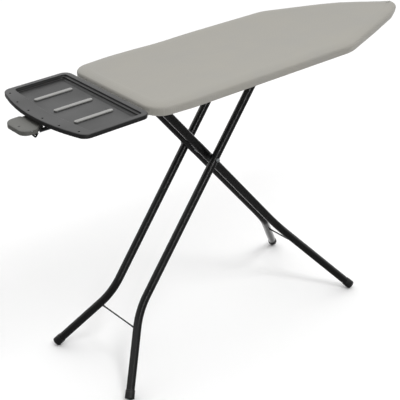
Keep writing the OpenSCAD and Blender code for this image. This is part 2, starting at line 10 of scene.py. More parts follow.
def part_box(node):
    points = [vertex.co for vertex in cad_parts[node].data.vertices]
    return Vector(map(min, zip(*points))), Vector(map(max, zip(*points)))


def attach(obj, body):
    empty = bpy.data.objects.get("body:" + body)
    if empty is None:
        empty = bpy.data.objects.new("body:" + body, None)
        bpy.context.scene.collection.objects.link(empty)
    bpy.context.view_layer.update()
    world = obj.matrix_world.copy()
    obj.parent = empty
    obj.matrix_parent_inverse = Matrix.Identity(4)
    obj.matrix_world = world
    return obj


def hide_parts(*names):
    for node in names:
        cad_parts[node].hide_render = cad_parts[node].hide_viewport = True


bl_info = {
    "name": "Folding Ironing Board",
    "version": (1, 0, 0),
    "blender": (4, 5, 0),
    "location": "View3D > Sidebar > Ironing Board",
    "description": "Builds a folding ironing board around its packed frame",
    "category": "Add Mesh",
}

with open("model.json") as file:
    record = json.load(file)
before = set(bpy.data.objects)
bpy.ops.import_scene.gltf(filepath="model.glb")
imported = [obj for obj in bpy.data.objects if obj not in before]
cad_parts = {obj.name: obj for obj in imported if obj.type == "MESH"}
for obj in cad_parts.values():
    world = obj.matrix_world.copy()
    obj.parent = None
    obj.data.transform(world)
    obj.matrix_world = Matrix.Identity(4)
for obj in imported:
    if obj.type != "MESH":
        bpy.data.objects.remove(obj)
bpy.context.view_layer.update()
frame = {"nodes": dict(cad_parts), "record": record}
MM = 0.001


def corner(node, which):
    return Vector(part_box(node)[which])


def centre(node):
    return (corner(node, 0) + corner(node, 1)) / 2


END_X = corner("board_cover", 0).x          # the square end
TOP_Z = corner("board_cover", 1).z          # the ironing surface
HEM_Z = corner("board_cover", 0).z
HINGE = centre("hinge_rod")
CROSSBAR = centre("front_crossbar")
PIVOT = centre("pivot_axle")
TRAY_TOP = corner("iron_tray", 1).z
TRAY_BASE = corner("iron_tray", 0).z


def linear(hex_colour):
    """A hex sRGB colour as linear red, green and blue, with full alpha."""
    out = []
    for i in (0, 2, 4):
        c = int(hex_colour[i:i + 2], 16) / 255
        out.append(c / 12.92 if c <= 0.04045 else ((c + 0.055) / 1.055) ** 2.4)
    return (*out, 1.0)


def board_point(x, y, z):
    """A point from millimetres along the board from its square end, and a height in metres."""
    return Vector((END_X + x * MM, y * MM, z))


# ---- Properties ----

class CoverSettings(bpy.types.PropertyGroup):
    cloth: bpy.props.FloatVectorProperty(
        name="Cloth", description="Colour of the cotton cover", subtype="COLOR", size=4,
        default=linear("9B9993"), min=0, max=1)
    cloth_thickness: bpy.props.FloatProperty(
        name="Thickness", description="Thickness of the cloth and its felt", unit="LENGTH",
        default=0.0012, min=0.0005, max=0.002)
    hem_width: bpy.props.FloatProperty(
        name="Hem", description="Width of the hem under the board", unit="LENGTH",
        default=0.034, min=0.02, max=0.044)
    gather_pitch: bpy.props.FloatProperty(
        name="Gather pitch", description="Spacing of the hem's gathers", unit="LENGTH",
        default=0.019, min=0.01, max=0.04)
    gather_depth: bpy.props.FloatProperty(
        name="Gather depth", description="Height of the gathers in the hem", unit="LENGTH",
        default=0.0016, min=0.0, max=0.003)


class TraySettings(bpy.types.PropertyGroup):
    plastic: bpy.props.FloatVectorProperty(
        name="Tray", description="Colour of the moulded tray", subtype="COLOR", size=4,
        default=linear("171717"), min=0, max=1)
    silicone: bpy.props.FloatVectorProperty(
        name="Strips", description="Colour of the heat-proof strips", subtype="COLOR", size=4,
        default=linear("9A9A98"), min=0, max=1)
    skin: bpy.props.FloatProperty(
        name="Wall", description="Thickness of the tray's wall", unit="LENGTH",
        default=0.002, min=0.0015, max=0.0025)
    rib_pitch: bpy.props.FloatProperty(
        name="Rib pitch", description="Spacing of the strips' ribs", unit="LENGTH",
        default=0.0045, min=0.002, max=0.008)


class LegSettings(bpy.types.PropertyGroup):
    coat: bpy.props.FloatVectorProperty(
        name="Powder coat", description="Colour of the coated steel tubes", subtype="COLOR", size=4,
        default=linear("131313"), min=0, max=1)
    tube_diameter: bpy.props.FloatProperty(
        name="Tube", description="Outside diameter of the leg tubes", unit="LENGTH",
        default=0.027, min=0.022, max=0.03)
    bend_radius: bpy.props.FloatProperty(
        name="Bend", description="Radius of the bends above the feet", unit="LENGTH",
        default=0.225, min=0.15, max=0.3)
    dent: bpy.props.FloatProperty(
        name="Dent", description="How far the rear tubes are pressed flat at the pivot", unit="LENGTH",
        default=0.0016, min=0.0, max=0.003)


class LeverSettings(bpy.types.PropertyGroup):
    plastic: bpy.props.FloatVectorProperty(
        name="Grip", description="Colour of the lever's grip", subtype="COLOR", size=4,
        default=linear("575753"), min=0, max=1)
    edge: bpy.props.FloatProperty(
        name="Edge", description="Roundness of the grip's edges", unit="LENGTH",
        default=0.0034, min=0.001, max=0.005)


class StageSettings(bpy.types.PropertyGroup):
    floor: bpy.props.FloatVectorProperty(
        name="Floor", description="Colour of the floor", subtype="COLOR", size=4,
        default=linear("FFFFFF"), min=0, max=1)
    ambient: bpy.props.FloatProperty(
        name="Ambient", description="Brightness of the soft light from above", default=1.35, min=0, max=3)
    shade: bpy.props.FloatProperty(
        name="Shade", description="Brightness of the dim side of the studio", default=0.16, min=0, max=1)


# ---- Shared making ----

def add(tree, kind, props=None, inputs=None):
    """Adds a node with its properties; inputs, by name or number, are values or sockets to link."""
    made = tree.nodes.new(kind)
    for key, value in (props or {}).items():
        setattr(made, key, value)
    for key, value in (inputs or {}).items():
        if isinstance(key, int):
            socket = made.inputs[key]
        else:
            socket = next(s for s in made.inputs if s.identifier == key or s.name == key and s.enabled)
        if isinstance(value, bpy.types.NodeSocket):
            tree.links.new(value, socket)
        else:
            socket.default_value = value
    return made


def finish_mesh(bm, name, smooth_angle=40):
    """A bmesh as a new object at the origin, with its faces turned outwards and its sharp edges marked."""
    bmesh.ops.remove_doubles(bm, verts=bm.verts, dist=1e-6)
    bmesh.ops.recalc_face_normals(bm, faces=bm.faces)
    limit = math.radians(smooth_angle)
    for face in bm.faces:
        face.smooth = True
    for edge in bm.edges:
        edge.smooth = len(edge.link_faces) == 2 and edge.calc_face_angle(0) < limit
    mesh = bpy.data.meshes.new(name)
    bm.to_mesh(mesh)
    bm.free()
    obj = bpy.data.objects.new(name, mesh)
    bpy.context.scene.collection.objects.link(obj)
    return obj


def hand_over(obj, body, material, nodes=()):
    """Gives a finished piece its material and its body, and hides the CAD nodes that it stands for."""
    obj.data.materials.clear()
    obj.data.materials.append(material)
    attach(obj, body)
    if nodes:
        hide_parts(*nodes)
    return obj


def bake(obj):
    """Turns what an object's modifiers make into its own plain mesh."""
    graph = bpy.context.evaluated_depsgraph_get()
    mesh = bpy.data.meshes.new_from_object(obj.evaluated_get(graph), depsgraph=graph)
    obj.modifiers.clear()
    obj.data = mesh
    return obj


def melt(*objects):
    """Takes the meshes of some objects into one bmesh, and removes the objects."""
    bm = bmesh.new()
    for obj in objects:
        bm.from_mesh(obj.data)
    for obj in objects:
        bpy.data.objects.remove(obj)
    return bm


def turn_up(obj, key):
    """Turns an open sheet's faces over if the face that stands out by the key looks down."""
    if max(obj.data.polygons, key=key).normal.z < 0:
        obj.data.flip_normals()


def thicken(obj, thickness, even=True):
    """Gives an open sheet its thickness, on its inner side."""
    solid = obj.modifiers.new("Sheet", "SOLIDIFY")
    solid.thickness = thickness
    solid.offset = -1
    if not even:
        solid.use_even_offset = False
    bake(obj)


def cut_away(obj, bm, name):
    """Cuts the shape in a bmesh out of an object."""
    cutter = finish_mesh(bm, name)
    cut = obj.modifiers.new("Cut", "BOOLEAN")
    cut.operation, cut.solver, cut.object = "DIFFERENCE", "EXACT", cutter
    bake(obj)
    bpy.data.objects.remove(cutter)


def inset(path, out, depth, z):
    """A line of the board's plan, taken in by a depth along its normals, at a height; all in millimetres."""
    return [board_point(p.x - n.x * depth, p.y - n.y * depth, z * MM) for p, n in zip(path, out)]


def set_input(modifier, name, value):
    """Sets a Geometry Nodes modifier's input by the identifier of its socket."""
    for item in modifier.node_group.interface.items_tree:
        if item.item_type == "SOCKET" and item.in_out == "INPUT" and item.name == name:
            modifier[item.identifier] = value
            return
    raise RuntimeError(f"{modifier.node_group.name} has no input {name}")


def generate(name, tree, values, source=None):
    """Runs a Geometry Nodes tree on a mesh, or on an empty one, and returns its plain result."""
    obj = bpy.data.objects.new(name, source or bpy.data.meshes.new(name))
    bpy.context.scene.collection.objects.link(obj)
    modifier = obj.modifiers.new("Make", "NODES")
    modifier.node_group = tree
    for key, value in values.items():
        set_input(modifier, key, value)
    return bake(obj)


def new_tree(name, sockets):
    """An empty Geometry Nodes tree with a Geometry input and output, and more inputs (name, kind, default)."""
    tree = bpy.data.node_groups.new(name, "GeometryNodeTree")
    tree.interface.new_socket("Geometry", in_out="INPUT", socket_type="NodeSocketGeometry")
    for label, kind, default in sockets:
        socket = tree.interface.new_socket(label, in_out="INPUT", socket_type=kind)
        if default is not None:
            socket.default_value = default
    tree.interface.new_socket("Geometry", in_out="OUTPUT", socket_type="NodeSocketGeometry")
    return tree, add(tree, "NodeGroupInput").outputs


def close_tree(tree, geometry, material):
    real = add(tree, "GeometryNodeRealizeInstances", inputs={"Geometry": geometry})
    coated = add(tree, "GeometryNodeSetMaterial", inputs={"Geometry": real.outputs[0], "Material": material})
    shaded = add(tree, "GeometryNodeSetShadeSmooth", inputs={"Geometry": coated.outputs[0]})
    add(tree, "NodeGroupOutput", inputs={"Geometry": shaded.outputs[0]})
    return tree


def corner_arc(before, here, after, step):
    """The points of one rounded corner (x, y, radius), anticlockwise."""
    a, b, c = (Vector(p[:2]) for p in (before, here, after))
    inward, onward = (b - a).normalized(), (c - b).normalized()
    turn = math.acos(max(-1, min(1, inward.dot(onward))))
    radius = here[2]
    start = b - inward * radius * math.tan(turn / 2)
    middle = start + radius * Vector((-inward.y, inward.x))
    first = math.atan2(-inward.x, inward.y)
    count = max(2, math.ceil(turn * radius / step))
    out = []
    for i in range(count + 1):
        angle = first + turn * i / count
        out.append((middle.x + radius * math.cos(angle), middle.y + radius * math.sin(angle)))
    return out


def outline(corners, step=6):
    """A closed rounded outline in millimetres, with evenly spread points along its arcs, joined by straights."""
    n = len(corners)
    arcs = [corner_arc(corners[i - 1], corners[i], corners[(i + 1) % n], step) for i in range(n)]
    return [p for arc in arcs for p in arc]


def resample(points, count, closed=True):
    """The same line through count points at even spacing."""
    line = [Vector(p) for p in points]
    if closed:
        line.append(line[0])
    lengths = [0.0]
    for a, b in zip(line, line[1:]):
        lengths.append(lengths[-1] + (b - a).length)
    total, out, j = lengths[-1], [], 0
    for i in range(count):
        s = total * i / (count if closed else count - 1)
        while j < len(lengths) - 2 and lengths[j + 1] < s:
            j += 1
        span = lengths[j + 1] - lengths[j]
        t = (s - lengths[j]) / span if span else 0
        out.append(line[j].lerp(line[j + 1], min(1, t)))
    return out


def normals(points):
    """Outward normals of a closed anticlockwise line."""
    n = len(points)
    out = []
    for i in range(n):
        along = (points[(i + 1) % n] - points[i - 1]).normalized()
        out.append(Vector((along.y, -along.x)))
    return out


def rings_to_mesh(bm, rings, cap_first=False, cap_last=False):
    """Joins rings of equal count with quads, and closes the first or last with one face."""
    loops = [[bm.verts.new(p) for p in ring] for ring in rings]
    n = len(loops[0])
    for a, b in zip(loops, loops[1:]):
        for i in range(n):
            k = (i + 1) % n
            bm.faces.new((a[i], a[k], b[k], b[i]))
    if cap_first:
        bm.faces.new(list(reversed(loops[0])))
    if cap_last:
        bm.faces.new(loops[-1])
    return loops


def sweep(bm, points, radius, sides=24, squeeze=None, round_ends=0.0):
    """A closed bar along a line of points. squeeze(i) gives (width, depth) factors at point i."""
    line = [Vector(p) for p in points]
    tangents = []
    for i in range(len(line)):
        a, b = line[max(0, i - 1)], line[min(len(line) - 1, i + 1)]
        tangents.append((b - a).normalized())
    side = tangents[0].orthogonal().normalized()
    if abs(tangents[0].y) < 0.9:
        side = (Vector((0, 1, 0)) - tangents[0] * tangents[0].y).normalized()
    rings = []
    for i, (p, t) in enumerate(zip(line, tangents)):
        side = (side - t * side.dot(t)).normalized()
        up = t.cross(side)
        wide, deep = squeeze(i) if squeeze else (1, 1)
        rings.append((p, side.copy(), up, wide * radius, deep * radius, t))

    def ring(entry, shrink=1.0, shift=0.0):
        p, s, u, w, d, t = entry
        return [
            p + t * shift + s * w * shrink * math.cos(2 * math.pi * k / sides)
            + u * d * shrink * math.sin(2 * math.pi * k / sides)
            for k in range(sides)]

    def rounded(entry, way):
        """Three shrinking rings of a rounded end, from its tip inwards."""
        out = []
        for a in (0, 30, 60):
            angle = math.radians(a)
            shrink = 1 - round_ends / radius * (1 - math.sin(angle))
            out.append(ring(entry, shrink, way * round_ends * (1 - math.cos(angle))))
        return out

    if round_ends:
        loops = rounded(rings[0], 1) + [ring(e) for e in rings[1:-1]] + rounded(rings[-1], -1)[::-1]
    else:
        loops = [ring(e) for e in rings]
    rings_to_mesh(bm, loops, cap_first=True, cap_last=True)


def turned(bm, base, axis, profile, sides=40):
    """A turned piece: profile is (distance along axis, radius) from one closed end to the other."""
    axis = axis.normalized()
    side = axis.orthogonal().normalized()
    up = axis.cross(side)
    rings = [
        [base + axis * along + (
            side * math.cos(2 * math.pi * k / sides) + up * math.sin(2 * math.pi * k / sides)) * r
         for k in range(sides)]
        for along, r in profile]
    rings_to_mesh(bm, rings, cap_first=True, cap_last=True)


def rounded_line(points, radius, steps=6):
    """A line through points in space, with its inner corners rounded."""
    pts = [Vector(p) for p in points]
    out = [pts[0]]
    for a, b, c in zip(pts, pts[1:], pts[2:]):
        reach = min(radius, (b - a).length / 2.01, (c - b).length / 2.01)
        start, end = b + (a - b).normalized() * reach, b + (c - b).normalized() * reach
        for i in range(steps + 1):
            t = i / steps
            out.append(start.lerp(b, t).lerp(b.lerp(end, t), t))
    out.append(pts[-1])
    return out


# ---- Materials ----

MATERIALS = {}


def surface(name, build):
    """Makes a material once: build(tree, coordinates, shader) adds its nodes."""
    if name in MATERIALS:
        return MATERIALS[name]
    material = bpy.data.materials.new(name)
    material.use_nodes = True
    tree = material.node_tree
    shader = next(n for n in tree.nodes if n.type == "BSDF_PRINCIPLED")
    where = add(tree, "ShaderNodeTexCoord")
    mapping = add(tree, "ShaderNodeMapping", inputs={"Vector": where.outputs["Object"]})
    build(tree, mapping.outputs["Vector"], shader)
    MATERIALS[name] = material
    return material


def mixed(tree, factor, dark, light):
    """A colour between two, by a factor."""
    mix = add(tree, "ShaderNodeMix", {"data_type": "RGBA"}, {
        "Factor_Float": factor, "A_Color": dark, "B_Color": light})
    return next(s for s in mix.outputs if s.identifier == "Result_Color")


def spread(tree, value, low, high, from_low=0.3, from_high=0.7):
    """A pattern's value stretched between two numbers."""
    return add(tree, "ShaderNodeMapRange", None, {
        "Value": value, "From Min": from_low, "From Max": from_high, "To Min": low, "To Max": high}).outputs[0]


def shade(colour, factor):
    return (*(min(1.0, c * factor) for c in colour[:3]), 1.0)


def speckle(tree, coords, size_mm, detail=3.0, roughness=0.55):
    """Noise whose grains are about size_mm across."""
    return add(tree, "ShaderNodeTexNoise", None, {
        "Vector": coords, "Scale": 1000 / size_mm / 2, "Detail": detail, "Roughness": roughness}).outputs["Fac"]


def raised(tree, height, shader, distance_mm, strength=1.0, under=None):
    inputs = {"Height": height, "Distance": distance_mm * MM, "Strength": strength}
    if under is not None:
        inputs["Normal"] = under
    bump = add(tree, "ShaderNodeBump", None, inputs)
    tree.links.new(bump.outputs[0], shader.inputs["Normal"])
    return bump.outputs[0]


THREAD_PITCH = 6.9115       # spacing of the drawn threads, in millimetres


def woven_cotton(tree, coords, shader):
    # Plain woven cotton, calendered: matt, with a soft bloom where it turns away, faint thick
    # and thin threads, and a slow unevenness from the felt below.
    cloth = tuple(bpy.context.scene.ironing_cover.cloth)
    # Real threads are about 0.45 mm apart; these are drawn far coarser, nearly 7 mm apart.
    threads = [
        add(tree, "ShaderNodeTexWave", {
            "wave_type": "BANDS", "bands_direction": bands, "wave_profile": "SIN"}, {
            "Vector": coords, "Scale": 2 * math.pi * 1000 / THREAD_PITCH / 20, "Distortion": 0.35,
            "Detail": 1.0, "Detail Scale": 4.0}).outputs["Fac"]
        for bands in ("X", "Y")]
    weave = add(tree, "ShaderNodeMath", {"operation": "MULTIPLY"}, {0: threads[0], 1: threads[1]}).outputs[0]
    stretched = add(tree, "ShaderNodeMapping", None, {"Vector": coords, "Scale": (1.0, 9.0, 1.0)}).outputs[0]
    slubs = speckle(tree, stretched, 26, 4.0, 0.6)
    felt = speckle(tree, coords, 60, 2.0, 0.5)
    fibre = speckle(tree, coords, 0.9, 4.0, 0.7)
    tone = mixed(tree, spread(tree, weave, 0, 1, 0.1, 0.9), shade(cloth, 0.93), shade(cloth, 1.03))
    tone = mixed(tree, spread(tree, slubs, 0, 0.16, 0.42, 0.7), tone, shade(cloth, 0.86))
    warm = (cloth[0] * 1.05, cloth[1] * 1.02, cloth[2] * 0.95, 1.0)
    tone = mixed(tree, spread(tree, felt, 0, 0.35), tone, warm)
    tone = mixed(tree, spread(tree, fibre, 0, 0.14, 0.45, 0.8), tone, shade(cloth, 1.16))
    tree.links.new(tone, shader.inputs["Base Color"])
    tree.links.new(spread(tree, fibre, 0.82, 0.94), shader.inputs["Roughness"])
    shader.inputs["Sheen Weight"].default_value = 0.18
    shader.inputs["Sheen Roughness"].default_value = 0.45
    shader.inputs["Specular IOR Level"].default_value = 0.25
    soft = raised(tree, felt, shader, 0.5, 0.35)
    raised(tree, weave, shader, 0.12, 0.6, under=soft)


def foam_sheet(tree, coords, shader):
    # Open-cell foam: matt, pale, with cells of about a millimetre that yellow unevenly.
    cells = add(tree, "ShaderNodeTexVoronoi", {"feature": "SMOOTH_F1"}, {
        "Vector": coords, "Scale": 1000 / 1.4}).outputs["Distance"]
    age = speckle(tree, coords, 80, 3.0)
    tone = mixed(tree, spread(tree, cells, 0, 1, 0.1, 0.7), linear("B9B19A"), linear("E2DCC9"))
    tone = mixed(tree, spread(tree, age, 0, 0.4), tone, linear("D8C99C"))
    tree.links.new(tone, shader.inputs["Base Color"])
    tree.links.new(spread(tree, cells, 0.85, 0.97, 0, 1), shader.inputs["Roughness"])
    raised(tree, cells, shader, 0.5, 0.8)


def powder_coat(colour, gloss):
    def build(tree, coords, shader):
        # Powder-coated steel: a satin plastic skin, with the fine orange peel of melted powder,
        # faint dust in it and slightly duller patches from handling.
        peel = speckle(tree, coords, 1.6, 2.0, 0.5)
        dust = speckle(tree, coords, 0.5, 2.0, 0.7)
        handling = speckle(tree, coords, 55, 4.0, 0.6)
        tone = mixed(tree, spread(tree, peel, 0, 1, 0.3, 0.7), shade(colour, 0.8), shade(colour, 1.2))
        tone = mixed(tree, spread(tree, dust, 0, 0.2, 0.64, 0.85), tone, shade(colour, 1.8))
        tree.links.new(tone, shader.inputs["Base Color"])
        tree.links.new(spread(tree, handling, gloss - 0.04, gloss + 0.08), shader.inputs["Roughness"])
        shader.inputs["IOR"].default_value = 1.5
        raised(tree, peel, shader, 0.012, 0.4)
    return build


def bright_zinc(tree, coords, shader):
    # Steel with bright zinc plate: a grey-blue metal, drawn lines along the wire or strip,
    # and slightly cloudy patches.
    lines = add(tree, "ShaderNodeMapping", None, {"Vector": coords, "Scale": (0.08, 1.0, 1.0)}).outputs[0]
    drawn = speckle(tree, lines, 0.7, 3.0, 0.6)
    cloud = speckle(tree, coords, 14, 4.0, 0.6)
    tone = mixed(tree, spread(tree, cloud, 0, 1), linear("A9ACB0"), linear("CFD2D4"))
    tone = mixed(tree, spread(tree, drawn, 0, 0.3, 0.4, 0.8), tone, linear("8C8F92"))
    tree.links.new(tone, shader.inputs["Base Color"])
    tree.links.new(spread(tree, drawn, 0.24, 0.42), shader.inputs["Roughness"])
    shader.inputs["Metallic"].default_value = 1.0
    raised(tree, drawn, shader, 0.02, 0.4)


def moulded(colour, grain_mm, gloss, depth_mm=0.06, level=0.5):
    def build(tree, coords, shader):
        # Injection-moulded plastic: one colour through, an etched grain that scatters the
        # highlight, and broad soft changes of gloss where the melt flowed.
        grain = speckle(tree, coords, grain_mm, 3.0, 0.6)
        flow = speckle(tree, coords, 70, 3.0, 0.5)
        tone = mixed(tree, spread(tree, grain, 0, 1), shade(colour, 0.86), shade(colour, 1.14))
        tone = mixed(tree, spread(tree, flow, 0, 0.3), tone, shade(colour, 1.12))
        tree.links.new(tone, shader.inputs["Base Color"])
        tree.links.new(spread(tree, flow, gloss - 0.05, gloss + 0.07), shader.inputs["Roughness"])
        shader.inputs["IOR"].default_value = 1.5
        shader.inputs["Specular IOR Level"].default_value = level
        raised(tree, grain, shader, depth_mm, 0.6)
    return build


def rubber(colour, gloss):
    def build(tree, coords, shader):
        # Moulded rubber or silicone: slightly translucent looking, dusty and soft in its highlights.
        dust = speckle(tree, coords, 5, 5.0, 0.65)
        skin = speckle(tree, coords, 0.8, 2.0, 0.5)
        tone = mixed(tree, spread(tree, dust, 0, 0.6, 0.4, 0.75), colour, shade(colour, 1.25))
        tone = mixed(tree, spread(tree, skin, 0, 0.25), tone, shade(colour, 0.8))
        tree.links.new(tone, shader.inputs["Base Color"])
        tree.links.new(spread(tree, dust, gloss, gloss + 0.15), shader.inputs["Roughness"])
        shader.inputs["IOR"].default_value = 1.45
        raised(tree, skin, shader, 0.05, 0.5)
    return build


def sewing_thread(tree, coords, shader):
    # Twisted polyester thread: a little shinier than the cloth, with its twist showing.
    twist = speckle(tree, coords, 0.6, 2.0, 0.5)
    tone = mixed(tree, spread(tree, twist, 0, 1), linear("8E8C86"), linear("C4C2BB"))
    tree.links.new(tone, shader.inputs["Base Color"])
    tree.links.new(spread(tree, twist, 0.5, 0.7), shader.inputs["Roughness"])
    raised(tree, twist, shader, 0.1, 0.6)


def material_for(slot):
    scene = bpy.context.scene
    makers = {
        "cover_cloth": ("Woven cotton, calendered", woven_cotton),
        "pad_foam": ("Polyurethane foam, open cell", foam_sheet),
        "board_steel": ("Sheet steel, grey powder coat", powder_coat(linear("7C7F81"), 0.48)),
        "black_steel": ("Tube steel, black powder coat", powder_coat(tuple(scene.ironing_legs.coat), 0.2)),
        "zinc_steel": ("Steel wire and strip, bright zinc plate", bright_zinc),
        "tray_plastic": ("Polypropylene, moulded and grained",
                         moulded(tuple(scene.ironing_tray.plastic), 1.2, 0.44, level=0.6)),
        "strip_silicone": ("Silicone, moulded", rubber(tuple(scene.ironing_tray.silicone), 0.55)),
        "grip_plastic": ("ABS, moulded and etched", moulded(tuple(scene.ironing_lever.plastic), 0.9, 0.5)),
        "black_plastic": ("Nylon, moulded black", moulded(linear("161616"), 0.8, 0.45)),
        "foot_rubber": ("Vinyl, moulded black", rubber(linear("151515"), 0.42)),
        "slide_nylon": ("Nylon, natural", moulded(linear("CFCFC6"), 1.0, 0.4)),
    }
    return surface(*makers[slot])


# ---- Board outline ----

BOARD_HALF = [      # (mm from the square end, half width, corner radius), from the square end to the nose
    (0, 206.5, 62), (140, 217, 400), (800, 213.5, 140),
    (987, 143.5, 500), (1141, 82, 156), (1240, 22, 38)]
ROWS = 200          # points along each long edge
COLUMNS = 40        # and across each end
NOSE_RUN = 36       # length of outline on each side of the tip that belongs to the nose's end
TIP_PULL = (5, 1185, 55)        # the cover pulls the tip back: how far, from where, over what length
WAIST = (341, 60, 5)            # the left edge is drawn in a little: where, how wide, how deep
LEFT_TAPER = (0.27, 1060, 160)  # share of its width that the left side loses: how much, from where, over what
LEFT_ROUND = (0.3, 15, 1180, 50)    # and its rounder tip: slope, width of the bend, from where, over what
SINK = (5.2, 985, 245)          # the ironing surface sinks: how far, from where, over what length
SOFTENING = (950, 290)          # the edge grows rounder: from where, over what length
EASE = math.radians(14)         # slope at which the edge's round part passes into its slow rise


def smooth_step(t):
    t = max(0.0, min(1.0, t))
    return t * t * (3 - 2 * t)


def other_side(p):
    """The left edge for a point of the right: drawn in at its waist, narrower to the tip, and rounder there."""
    where, width, depth = WAIST
    draw = depth * math.exp(-((p.x - where) / width) ** 2 / 2)
    slope, bend, start, run = LEFT_ROUND
    back = slope * p.y ** 2 / (bend - p.y) * smooth_step((p.x - start) / run)
    share, start, run = LEFT_TAPER
    return Vector((p.x - back, -p.y * (1 - share * smooth_step((p.x - start) / run)) - draw))


def board_outline():
    """The ring round the board, anticlockwise: its right edge, the nose, the left edge and the square end."""
    right = [(x, -y, r) for x, y, r in BOARD_HALF]
    whole = outline(right + [(x, -y, r) for x, y, r in reversed(right)], step=2)
    nose_middle = Vector((BOARD_HALF[-1][0], 0))
    half = resample([Vector(p) for p in whole if p[1] < 0] + [nose_middle], 1400, closed=False)
    step = (half[1] - half[0]).length
    cut = len(half) - 1 - round(NOSE_RUN / step)
    pull, start, run = TIP_PULL
    for p in half:
        p.x -= pull * smooth_step((p.x - start) / run)
    edge = resample(half[:cut + 1], ROWS, closed=False)
    tip = resample(half[cut:], COLUMNS // 2 + 1, closed=False)
    nose = tip[1:] + [other_side(p) for p in reversed(tip[1:-1])]
    left = [other_side(p) for p in reversed(edge)]
    end = [left[-1].lerp(edge[0], i / COLUMNS) for i in range(1, COLUMNS)]
    return edge + nose + left + end


def sink(x):
    """How far the ironing surface sinks towards the nose, in millimetres."""
    depth, start, run = SINK
    return depth * smooth_step((x - start) / run)


def soft_edge(x):
    """The cover's edge at x: its radius, the run of its slow rise, and the height of the round part's foot."""
    toward_nose = smooth_step((x - SOFTENING[0]) / SOFTENING[1])
    radius = 9 + 7 * toward_nose
    run = 32 - 10 * toward_nose
    crest = TOP_Z / MM - 0.02 - sink(x) - math.tan(EASE) * run / 2
    return radius, run, crest - radius * math.cos(EASE)


def edge_profile(x, t, gap=0.0):
    """A point of the edge, or of the layer a gap below it: t runs from 0 to 1 up the round part and on to 2."""
    radius, run, low = soft_edge(x)
    angle = (math.pi / 2 - EASE) * min(t, 1)
    on = max(0.0, t - 1)
    depth = radius - (radius - gap) * math.cos(angle) + run * on
    return depth, low + (radius - gap) * math.sin(angle) + math.tan(EASE) * run * (on - on * on / 2)


def under_edge(x, z, gap):
    """How far in from the outline a height z is the given gap inside the cover."""
    radius, _, low = soft_edge(x)
    if z <= low:
        return gap
    up = min((radius - gap) * math.cos(EASE), z - low)
    return radius - math.sqrt((radius - gap) ** 2 - up * up)


# ---- Operators ----

FLOOR_SIZE = 60     # metres
KEY_PLACE = (-0.26, -1.6, 3.25)
CAMERA_PLACE = (-2.2335, -2.4709, 2.2486)
CAMERA_YAW, CAMERA_PITCH = 0.86122, -0.49806    # radians


